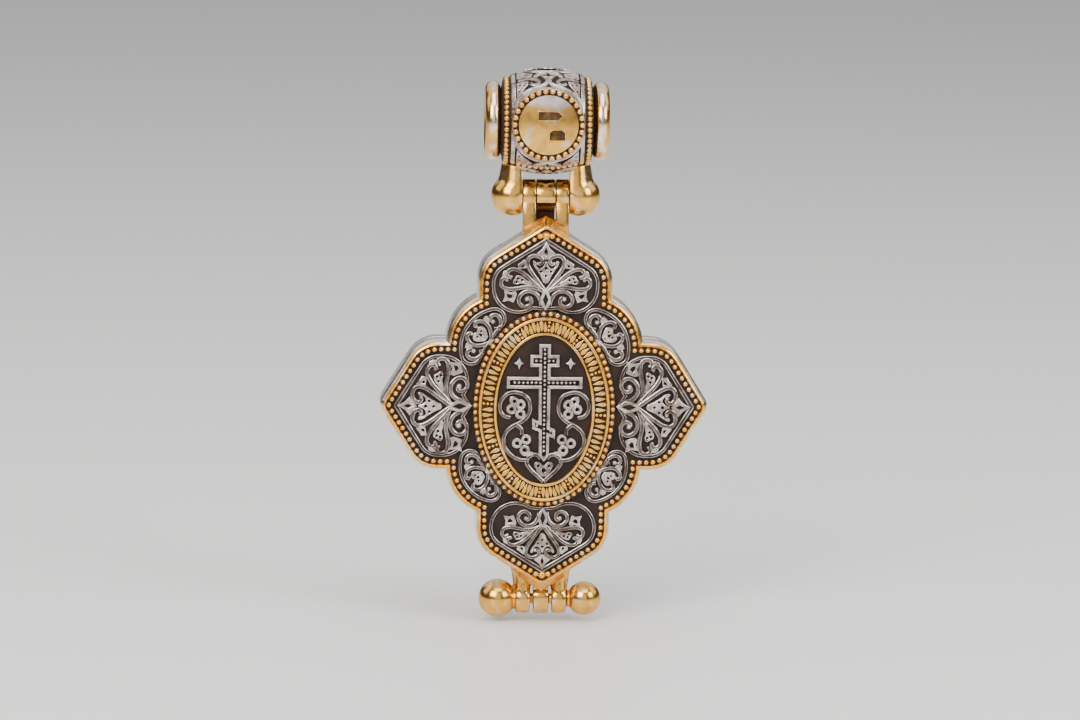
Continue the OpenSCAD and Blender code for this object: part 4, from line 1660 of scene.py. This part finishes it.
@dataclass
class Hinge:
    """The upper hinge: two lugs on the front leaf, a knuckle on the back leaf, and the rim's gables."""

    # Height of the axis, and radii of lugs and bore
    z: float = -8.75
    r: float = 1.95
    bore: float = 0.65
    # Stem: distance from the parting plane, depth, and heights from the axis
    gap: float = 0.05
    depth: float = 1.85
    stem_top: float = -0.7
    stem_foot: float = -4.0
    stem_root: float = -1.94
    # Ends of a lug and of the knuckle along the pin, and radius of their edges
    lug_in: float = 1.2
    lug_out: float = 2.7
    knuckle: float = 1.1
    edge: float = 0.13
    # Gables: upper corners of the right half, and height of the foot
    upper_gable: tuple[Place, ...] = ((0, 21.15, 3.27), (2.7, 19.45, 3.18), (0, 22.3, 2.0), (2.7, 20.8, 1.95))
    upper_low: float = 0.1
    lower_gable: tuple[Place, ...] = ((0, -21.15, 3.25), (2.9, -19.35, 3.12), (0, -22.3, 2.2),
                                      (2.8, -20.5, 2.02))
    lower_low: float = 1.6

    def side(self, way: int) -> list[Spot]:
        """Draws a lug from the side, its stem on one side of the parting plane.

        Args:
            way: -1 for a stem in front of the plane, 1 for one behind it.

        Returns:
            The closed line, round the axis.
        """
        near, far = self.gap * way, self.depth * way
        head = arc(0, 0, self.r, -20, 200, 20) if way < 0 else arc(0, 0, self.r, 200, -20, 20)
        return head + [(far, self.stem_top), (far, self.stem_foot), (near, self.stem_foot),
                       (near, self.stem_root)]

    def lug(self, name: str, way: int, start: float, end: float) -> Piece:
        """Cuts one lug.

        Args:
            name: Name of the piece.
            way: -1 for a stem in front of the parting plane, 1 for one behind it.
            start: Its left end along the pin.
            end: Its right end.

        Returns:
            The lug, in its place.
        """
        outlines = [self.side(way), circle(0, 0, self.bore, 24)]
        piece = Bench.plaque(name, outlines, end - start, self.edge, Corner.SHARP)
        piece.data.transform(side_place(start, self.z))
        return piece

    def build(self) -> None:
        """Builds the lugs, the knuckle and the gables."""
        spans = ((self.lug_in, self.lug_out), (-self.lug_out, -self.lug_in))
        lugs = [self.lug("lug", -1, start, end) for start, end in spans]
        Bench.set_in(Bench.joined("front_upper_lugs", lugs), AS_DRAWN, Body.FRONT, GILT_POLISHED)
        knuckle = self.lug("back_upper_knuckle", 1, -self.knuckle, self.knuckle)
        # Painted shade: dark where the stem lies against the front leaf
        Bench.marked(knuckle, "rub", lambda co: max(co.y - 0.1, (co.z - self.z + 1.8) / 0.7))
        Bench.set_in(knuckle, AS_DRAWN, Body.BACK, GILT_POLISHED)
        gables = [self.gable("front_upper_gable", self.upper_low, self.upper_gable),
                  self.gable("front_lower_gable", self.lower_low, self.lower_gable)]
        for piece in gables:
            Bench.set_in(piece, leaf_place(Face.FRONT), Body.FRONT, GILT_POLISHED, crease=60)

    @staticmethod
    def gable(name: str, low: float, corners: Sequence[Place]) -> Piece:
        """Casts a ridged gable over the rim's point.

        Args:
            name: Name of the piece.
            low: Height of its foot.
            corners: The upper corners of its right half.

        Returns:
            The piece.
        """
        half = Bench.hulled("half", list(corners) + [(u, v, low) for u, v, _ in corners])
        return Bench.melted(name, [half, Bench.copied(half, FLIP_ACROSS)], 0.08, 6)

    @staticmethod
    def dress_pin(pin: Piece) -> None:
        """Gives the hinge pin, which stays as its solid, its metal.

        Args:
            pin: The pin's solid.
        """
        pin.data.materials.clear()
        pin.data.materials.append(SIDE_SILVER.material())
        LOG.info("%s: %d faces", pin.name, len(pin.data.polygons))


@dataclass
class Clasp:
    """The lower clasp: two flared lugs with a ball, the middle knuckle and the ball-headed pin."""

    # Height of the axis, radius of lugs and knuckle, and ends of a lug along the pin
    z: float = -56.7
    r: float = 1.76
    lug_in: float = 1.25
    lug_out: float = 3.0
    # How much a lug swells towards its middle
    swell: float = 0.22
    # Middle knuckle: width, turn at which its opening ends, and radius of its open bore
    hook_wide: float = 1.84
    hook_lip: float = 24.2
    hook_bore: float = 0.72
    # Left ball and the profile of its neck
    ball_r: float = 2.25
    ball_x: float = -5.1
    neck: Line = ((-3.8, 0.0), (-3.8, 1.5), (-3.4, 1.2), (-2.9, 1.3), (-2.9, 0.0))
    # Pin: profile from tip to collar, its ball, and the share of half a turn that the collar hides
    shaft: Line = ((-2.9, 0.0), (-2.9, 0.5), (-2.8, 0.6), (3.1, 0.6), (3.1, 0.95), (3.2, 1.04))
    head_r: float = 2.0
    head_x: float = 5.15
    head_start: float = 0.17

    @property
    def middle(self) -> float:
        """Returns the middle of the right lug along the pin."""
        return (self.lug_in + self.lug_out) / 2

    @property
    def half(self) -> float:
        """Returns half of a lug's width."""
        return (self.lug_out - self.lug_in) / 2

    def build(self) -> None:
        """Builds the clasp's pieces."""
        on_axis = Matrix.Translation((0, 0, self.z))
        Bench.set_in(self.lugs(), on_axis, Body.BACK, GILT_POLISHED, crease=60)
        hook = Bench.plaque("front_lower_knuckle", [self.hook_side()], self.hook_wide, 0.3, Corner.SHARP)
        hook.data.transform(side_place(-self.hook_wide / 2, self.z))
        # Painted shadow: darker towards the top, under the lower gable
        Bench.rub_and_shade_by_height(hook, -54.7, -55.4)
        Bench.set_in(hook, AS_DRAWN, Body.FRONT, GILT_POLISHED)
        pin = Bench.turned("clasp_pin_and_ball", self.pin_profile())
        Bench.set_in(pin, on_axis, Body.CLASP, GILT_POLISHED, ["clasp_pin"], crease=50)

    def hook_side(self) -> list[Spot]:
        """Draws the middle knuckle from the side, open at the back.

        Returns:
            The closed line, round the axis.
        """
        stem = [(-0.05, 1.9), (-0.05, 2.7), (-0.8, 2.7), (-0.8, 1.2)]
        front = [(-1.15, 1.12), (-1.44, 0.88), (-1.56, 0.5), (-1.56, -0.55), (-1.44, -0.95), (-1.15, -1.28),
                 (-0.7, -1.55)]
        line = arc(0, 0, self.r, self.hook_lip, 90, 8) + stem + front
        return line + arc(0, 0, self.r, 258, 360 - self.hook_lip, 14) + arc(0, 0, self.hook_bore, 270, 90, 12)

    def pin_profile(self) -> list[Spot]:
        """Draws the pin, its collar and its ball.

        Returns:
            The profile, from the tip to the ball's far end.
        """
        turns = [math.pi * (1 - self.head_start) * (1 - i / 18) for i in range(19)]
        ball = [(self.head_x + self.head_r * math.cos(t), self.head_r * math.sin(t)) for t in turns]
        return [*self.shaft, *ball]

    def barrel(self, way: int) -> Piece:
        """Turns the barrel of one lug.

        Args:
            way: 1 for the right lug, -1 for the left one.

        Returns:
            The barrel, on the axis.
        """
        turns = [math.pi * i / 12 for i in range(13)]
        swell = [(self.middle * way + self.half * math.cos(t), self.r - self.swell * (1 - math.sin(t)))
                 for t in turns]
        return Bench.turned("lug", [(swell[0][0], 0.0), *swell, (swell[-1][0], 0.0)])

    def stem(self, way: int) -> Piece:
        """Cuts the flared stem that carries one lug.

        Args:
            way: 1 for the right lug, -1 for the left one.

        Returns:
            The stem, up from the axis.
        """
        inner, outer = self.lug_in * way, self.lug_out * way
        flared = outer + 0.5 * way
        side = ((inner, 0), (outer, 0), (outer, 1.6), (flared, 3.4), (inner, 3.4))
        return Bench.hulled("stem", [(x, y, z) for y in (0.08, 1.66) for x, z in side])

    def bar(self, way: int) -> Piece:
        """Draws the round bar from one lug up to the rim, slanted at its top.

        Args:
            way: 1 for the right lug, -1 for the left one.

        Returns:
            The bar, up from the axis.
        """
        stations = []
        for share in (0.0, 0.25, 0.5, 0.75, 0.92, 1.0):
            ring = []
            for turn in (math.pi * i / 12 for i in range(24)):
                x = self.middle * way + (self.half + 0.3 * share ** 2) * math.cos(turn)
                y = (1.72 - 0.32 * share) * math.sin(turn)
                ring.append((x, y, share * (2.42 + 0.625 * (abs(x) - 1.25))))
            stations.append(ring)
        return Bench.swept("bar", stations, capped=True)

    def lugs(self) -> Piece:
        """Casts both lugs and the left ball as one piece round the pin.

        Returns:
            The piece, on the axis.
        """
        parts = []
        for way in (1, -1):
            parts += [self.barrel(way), self.stem(way), self.bar(way)]
        parts += [Bench.ball(self.ball_r, (self.ball_x, 0, 0)), Bench.turned("neck", self.neck)]
        return Bench.melted("back_lower_lugs", parts, 0.1, 14)


# Bail


SIDES = ((-1, "left"), (1, "right"))
SIDE_STRAP = tuple((4.02, 0.9 * i - 6.6) for i in range(15))
STRAP_ARCHES = (
    ((4.05, 1.5), (3.75, 2.9), (2.8, 4.1), (1.5, 4.75), (0.35, 5.25), (0.0, 6.0), (-0.45, 6.55)),
    ((4.05, -1.5), (3.7, -2.7), (2.95, -3.75), (1.85, -4.5), (0.65, -4.9), (-0.45, -5.2), (-1.2, -5.7),
     (-1.6, -6.25)),
)
STRAP_SCROLLS = Drawing(
    ribbons=(
        ((3.5, 6.35), (2.4, 6.45), (1.35, 6.05), (1.1, 5.5), (1.6, 5.2), (2.1, 5.5)),
        ((0, -6.35), (0.5, -6.1), (0.75, -5.75), (0.5, -5.5), (0.2, -5.7)),
    ),
    cut_leaves=(
        (((3.65, 3.35), (3.7, 5.9), (2.95, 6.05), (2.3, 5.95), (2.35, 5.35), (2.75, 4.75)),
         dot(3.3, 5.5), dot(3.35, 4.5), dot(2.8, 5.35)),
        (((3.6, -3.5), (3.65, -5.9), (2.9, -6.1), (1.95, -6.05), (1.75, -5.5), (2.75, -4.6)),
         dot(3.25, -5.4), dot(3.3, -4.6), dot(2.5, -5.5)),
    ),
    width=0.4, high=0.22,
)
# A slit between two petals: distance from the rosette's middle, and turn in radians
SLIT = ((1.95, 0.0), (2.55, 0.16), (3.2, 0.1), (3.6, 0.0), (3.2, -0.1), (2.55, -0.16))


@dataclass
class Bail:
    """The bail: crowned barrel with strapwork, end rings, disc and the two ball knobs."""

    # Barrel, with its relief: radii at the middle and the ends, half length, bore, flat ends
    r: float = 6.2
    end_r: float = 4.9
    half: float = 5.2
    bore: float = 2.7
    end_x: float = 5.33
    # Outer and inner radius of the step at its ends
    collar: Spot = (4.15, 4.1)
    # Height of the strapwork, the distance between its cuts, and its places round the barrel
    relief: float = 0.2
    cut: float = 0.75
    repeats: Place = (0.0, 12.8, 25.3)
    # End rings: place, radius and half thickness
    ring_x: float = 6.3
    ring_r: float = 3.67
    ring_wire: float = 0.92
    # Flat under the disc, and the boss on it: radius and reach forwards from foot to top
    flat_y: float = -5.85
    flat_r: float = 4.3
    boss: Line = ((4.36, 3.9), (4.34, 4.8), (4.28, 5.5), (4.2, 5.8), (4.1, 5.88), (3.9, 5.9), (0.2, 5.9))
    # Bead rows at the ends
    bead_r: float = 0.33
    row_x: float = 4.78
    row_beads: int = 48
    # Bead row under the barrel: turn from the top to the lower front in degrees, beads a side, pitch
    low_turn: float = 149.0
    low_beads: int = 6
    low_pitch: float = 0.66
    # Bead row round the disc, its beads a little larger
    disc_row: float = 3.88
    disc_row_y: float = -5.9
    disc_beads: int = 30
    disc_bead: float = 1.09
    # Disc and its two sunk cartouches
    disc_r: float = 3.45
    disc_foot: float = 6.12
    disc_rise: float = 0.3
    cartouches: tuple[Line, ...] = (
        ((-1.25, 0.55), (1.1, 0.55), (1.65, 1.08), (1.1, 1.6), (-1.25, 1.6)),
        ((0.05, -1.8), (1.95, -1.8), (1.95, -0.8), (1.5, -0.5), (0.5, -0.5), (0.05, -0.8)),
    )
    # Right knob, its neck with radii below and above, and the flat that it turns to the lugs
    knob_r: float = 2.47
    knob_at: Place = (3.93, 0, -8.75)
    neck_at: Place = (3.45, 0, -6.7)
    neck_tall: float = 3.6
    neck_r: Spot = (2.4, 1.75)
    knob_face: float = 2.8

    def radius(self, x: float) -> float:
        """Finds the barrel's radius, with its relief.

        Args:
            x: Place along the barrel.

        Returns:
            The radius.
        """
        rise = self.r - self.end_r
        crown = (self.half ** 2 + rise ** 2) / (2 * rise)
        return self.r - crown + math.sqrt(crown ** 2 - x * x)

    def wrapped(self, piece: Piece) -> Piece:
        """Wraps what is drawn flat round the barrel, from its front upwards.

        Args:
            piece: The flat piece.

        Returns:
            The piece.
        """
        Bench.sliced(piece, 1, self.cut)
        for vert in piece.data.vertices:
            x, along, high = vert.co
            turn = along / self.r
            far = self.radius(x) + high
            vert.co = (x, -far * math.cos(turn), far * math.sin(turn))
        return piece

    def build(self) -> None:
        """Builds the bail's pieces."""
        Bench.set_in(self.shell(), AS_DRAWN, Body.BAIL, DARK_SILVER, ["bail_barrel"])
        for way, side in SIDES:
            ring = Bench.turned(f"bail_end_ring_{side}", arc(0, self.ring_r, self.ring_wire, 0, 360, 24), 72)
            # The gilding thins towards the outer edge
            Bench.marked(ring, "bare", lambda co: (math.hypot(co.y, co.z) - 4.1) * 1.3)
            place = Matrix.Translation((self.ring_x * way, 0, 0))
            Bench.set_in(ring, place, Body.BAIL, GILT_POLISHED, [f"bail_ring_{side}"])
        Bench.set_in(self.strapwork(), AS_DRAWN, Body.BAIL, DARK_SILVER)
        Bench.set_in(self.beads(), AS_DRAWN, Body.BAIL, GILT_RIM)
        place = leaf_place(Face.FRONT) @ Matrix.Translation((0, -LEAF_DROP, 0))
        Bench.set_in(self.disc(), place, Body.BAIL, GILT_POLISHED, ["bail_disc"])
        for way, side in SIDES:
            Bench.set_in(self.knob(f"bail_knob_{side}", way), AS_DRAWN, Body.BAIL, GILT_POLISHED, crease=50)

    def shell(self) -> Piece:
        """Turns the barrel, presses it flat under the disc and sets the boss on it.

        Returns:
            The dark shell of the barrel, its boss bright on top.
        """
        crown = [(x, self.radius(x) - self.relief) for x in (self.half * i / 12 for i in range(-12, 13))]
        outer, inner = self.collar
        profile = [(-self.end_x, self.bore), (-self.end_x, inner), (-self.half, outer), *crown,
                   (self.half, outer), (self.end_x, inner), (self.end_x, self.bore), (-self.end_x, self.bore)]
        piece = Bench.turned("bail_shell", profile, 96)
        for vert in piece.data.vertices:
            if vert.co.y < self.flat_y and math.hypot(vert.co.x, vert.co.z) < self.flat_r:
                vert.co.y = self.flat_y
        boss = Bench.swept("boss", [[(u, -y, v) for u, v in circle(0, 0, r, 72)] for r, y in self.boss])
        Bench.evenly_rubbed(piece, 0.0)
        Bench.rub_and_shade_by_height(boss, -5.87, -5.8, 1)
        return Bench.joined("bail_shell", [piece, boss])

    def strapwork(self) -> Piece:
        """Builds the interlaced straps, scrolls and leaves, three times round the barrel.

        Returns:
            The strapwork as one piece, wrapped round the barrel.
        """
        straps = [Bench.ribbon("strap", lines, width, 0.24)
                  for lines, width in (([SIDE_STRAP], 0.5), (STRAP_ARCHES, 0.56))]
        parts = [Bench.with_twin(Bench.rub_and_shade_by_height(strap, 0.05, 0.2)) for strap in straps]
        pattern = Bench.joined("strap", parts + STRAP_SCROLLS.pieces("strap"))
        rosette = self.rosette()
        made = []
        for along in self.repeats:
            place = Matrix.Translation((0, along, -self.relief))
            made.append(Bench.copied(pattern, place))
            # The disc covers the middle of the first repeat
            if along:
                made.append(Bench.copied(rosette, place))
        for used in (pattern, rosette):
            bpy.data.objects.remove(used)
        return self.wrapped(Bench.joined("bail_strapwork", made))

    def rosette(self) -> Piece:
        """Cuts a pierced rosette with a round boss.

        Returns:
            The rosette, lying flat with its foot at 0.
        """
        petals = [polar(r, math.pi * i / 8) for i, r in enumerate([3.5, 2.9, 1.6, 2.9] * 4)]
        eyes = [dot(*polar(2.5, math.pi / 2 * i), 0.3) for i in range(4)]
        slits = [[polar(r, math.pi / 4 * i + turn) for r, turn in SLIT] for i in (1, 3, 5, 7)]
        flat = Bench.plaque("strap", [petals, dot(0, 0, 0.8), *eyes, *slits], 0.24, 0.08)
        boss = Bench.bead(0.5, around=16, tall=0.7)
        return Bench.sliced(Bench.joined("strap", [Bench.rub_and_shade_by_height(flat, 0.05, 0.2), boss]), 0, self.cut)

    def beads(self) -> Piece:
        """Sets the bead rows round both ends, under the barrel and round the disc.

        Returns:
            The rows as one piece.
        """
        pattern = Bench.bead(self.bead_r)
        stood = [(self.row_x * way, 2 * math.pi * i / self.row_beads)
                 for way, _ in SIDES for i in range(self.row_beads)]
        stood += [(self.low_pitch * i, math.radians(self.low_turn))
                  for i in range(-self.low_beads, self.low_beads + 1)]
        places = [Matrix.Rotation(turn, 4, "X") @ Matrix.Translation((x, 0, self.radius(x) - self.relief))
                  for x, turn in stood]
        for i in range(self.disc_beads):
            u, v = polar(self.disc_row, 2 * math.pi * i / self.disc_beads)
            places.append(Matrix.Translation((u, self.disc_row_y, v))
                          @ Matrix.Rotation(math.pi / 2, 4, "X") @ Matrix.Scale(self.disc_bead, 4))
        beads = [Bench.copied(pattern, place) for place in places]
        bpy.data.objects.remove(pattern)
        return Bench.joined("bail_beads", beads)

    def dome(self) -> Pillow:
        """Returns the disc's domed field."""
        return Pillow(circle(0, 0, self.disc_r, 72), (0.0, 0.0), self.disc_foot, self.disc_rise)

    def disc(self) -> Piece:
        """Builds the domed disc with its two sunk cartouches, their floors and lips.

        Returns:
            The disc, lying flat.
        """
        disc = Bench.evenly_rubbed(self.dome().piece("bail_front_disc", 12), 1.0)
        # Paler silver towards the upper edge
        Bench.marked(disc, "bare", lambda co: min(0.8, (co.y - 0.9) / 2.2))
        for line in self.cartouches:
            cutter = Bench.plaque("cutter", [line], 1.0, 0.04, Corner.SHARP)
            cutter.data.transform(Matrix.Translation((0, 0, 6.2)))
            Bench.worked(disc, "BOOLEAN", operation="DIFFERENCE", object=cutter)
            bpy.data.objects.remove(cutter)
        floors = Bench.plaque("floors", self.cartouches, 0.1, 0.01, Corner.SHARP)
        floors.data.transform(Matrix.Translation((0, 0, 6.14)))
        lips = Bench.ribbon("lips", self.cartouches, 0.16, 0.09, Corner.SHARP, True, 0.0)
        Bench.draped(lips, self.dome().height)
        return Bench.joined("bail_front_disc", [
            Bench.rub_and_shade_by_height(floors, 6, 7.2), Bench.evenly_rubbed(lips, 1.0), disc])

    def knob(self, name: str, way: int) -> Piece:
        """Casts a ball knob that runs up into the barrel, cut flat towards the lugs.

        Args:
            name: Name of the piece.
            way: 1 for the right knob, -1 for the left one.

        Returns:
            The knob, in its place.
        """
        ball = Bench.ball(self.knob_r, self.knob_at)
        low, high = self.neck_r
        Bench.clear()
        bpy.ops.mesh.primitive_cone_add(vertices=48, radius1=low, radius2=high, depth=self.neck_tall,
                                        location=self.neck_at)
        piece = Bench.melted(name, [ball, bpy.context.active_object], 0.12, 22)
        Bench.opened(piece)
        bpy.ops.mesh.bisect(plane_co=(self.knob_face, 0, 0), plane_no=(1, 0, 0), use_fill=True,
                            clear_inner=True)
        bpy.ops.object.mode_set(mode="OBJECT")
        if way < 0:
            piece.data.transform(FLIP_ACROSS)
            piece.data.flip_normals()
        return piece


# Studio


@dataclass(frozen=True)
class Lamp:
    """A square soft light aimed at the object, in metres and watts."""

    name: str
    place: Place
    size: float
    power: float
    colour: Place
    aim: Place = (0, 0, -0.03)

    def hang(self) -> None:
        """Hangs the light."""
        data = bpy.data.lights.new(self.name, "AREA")
        data.size = self.size
        data.energy = self.power
        data.color = self.colour
        lamp = bpy.data.objects.new(self.name, data)
        bpy.context.scene.collection.objects.link(lamp)
        lamp.visible_camera = False
        lamp.location = self.place
        lamp.rotation_euler = (Vector(self.aim) - Vector(self.place)).to_track_quat("-Z", "Y").to_euler()


LAMPS = (
    Lamp("key", (-0.30, -0.50, 0.34), 0.36, 4.5, (1.0, 0.98, 0.95)),
    Lamp("fill", (0.46, -0.36, 0.27), 0.30, 2.6, (0.96, 0.98, 1.0)),
    Lamp("over", (0.03, -0.22, 0.60), 0.50, 3.4, (1.0, 0.99, 0.97)),
    Lamp("front", (0.0, -0.95, 0.34), 0.7, 1.5, (1.0, 0.99, 0.97)),
    Lamp("sky", (0.0, 1.1, 1.55), 3.2, 34.0, (1.0, 1.0, 1.0)),
    Lamp("left_card", (-0.75, 0.12, 0.55), 0.6, 1.8, (1.0, 0.98, 0.96)),
    Lamp("right_card", (0.75, 0.12, 0.55), 0.6, 1.8, (1.0, 0.98, 0.96)),
)


@dataclass
class Studio:
    """Pale floor, soft lights and the camera, in metres."""

    floor_z: float = -0.0594
    floor_size: float = 6.0
    floor_colour: Colour = (0.84, 0.83, 0.82, 1)
    floor_rough: float = 0.35
    room_colour: Colour = (0.80, 0.81, 0.83, 1)
    room_strength: float = 0.10
    # Camera: direction, height and roll in degrees, distance, and width that it sees at the target
    azimuth: float = -2.5
    elevation: float = 8.0
    roll: float = 0.75
    distance: float = 0.5
    view_width: float = 0.12706
    target: Place = (-0.0004, 0.0, -0.0282)
    # Width of its sensor, in millimetres
    sensor: float = 36.0

    def build(self) -> None:
        """Builds the set."""
        self.floor()
        self.room()
        self.camera()
        for lamp in LAMPS:
            lamp.hang()

    def floor(self) -> None:
        """Lays a wide pale sheet under the object."""
        Bench.clear()
        bpy.ops.mesh.primitive_plane_add(size=1.0, location=(0, 0, self.floor_z))
        floor = bpy.context.active_object
        floor.name = "floor"
        bpy.ops.object.mode_set(mode="EDIT")
        bpy.ops.transform.resize(value=(self.floor_size, self.floor_size, 1),
                                 center_override=(0, 0, self.floor_z))
        bpy.ops.object.mode_set(mode="OBJECT")
        made = bpy.data.materials.new("pale_floor")
        made.use_nodes = True
        shader = made.node_tree.nodes["Principled BSDF"]
        shader.inputs["Base Color"].default_value = self.floor_colour
        shader.inputs["Roughness"].default_value = self.floor_rough
        floor.data.materials.append(made)

    def room(self) -> None:
        """Fills the room with soft light."""
        world = bpy.data.worlds.new("room")
        bpy.context.scene.world = world
        world.use_nodes = True
        glow = world.node_tree.nodes["Background"]
        glow.inputs["Color"].default_value = self.room_colour
        glow.inputs["Strength"].default_value = self.room_strength

    def camera(self) -> None:
        """Sets the camera at the photograph's angle."""
        a, e = math.radians(self.azimuth), math.radians(self.elevation)
        back = Vector((math.sin(a) * math.cos(e), -math.cos(a) * math.cos(e), math.sin(e)))
        data = bpy.data.cameras.new("camera")
        data.lens = self.sensor * self.distance / self.view_width
        data.clip_start, data.clip_end = 0.01, 20
        camera = bpy.data.objects.new("camera", data)
        bpy.context.scene.collection.objects.link(camera)
        camera.location = Vector(self.target) + back * self.distance
        level = (-back).to_track_quat("-Z", "Y").to_matrix().to_4x4()
        turn = level @ Matrix.Rotation(math.radians(self.roll), 4, "Z")
        camera.rotation_euler = turn.to_euler()
        bpy.context.scene.camera = camera


def main() -> None:
    """Builds the set and the object in order."""
    logging.basicConfig(level=logging.INFO, format="%(message)s")
    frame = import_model()
    Studio().build()
    FrontLeaf().build()
    Leaf(Face.BACK, Body.BACK).build()
    FrontMedallion().build()
    Medallion(Face.BACK, Body.BACK).build()
    Hinge().build()
    Clasp().build()
    Bail().build()
    Hinge.dress_pin(frame["nodes"]["hinge_pin"])
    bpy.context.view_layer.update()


if __name__ == "__main__":
    main()
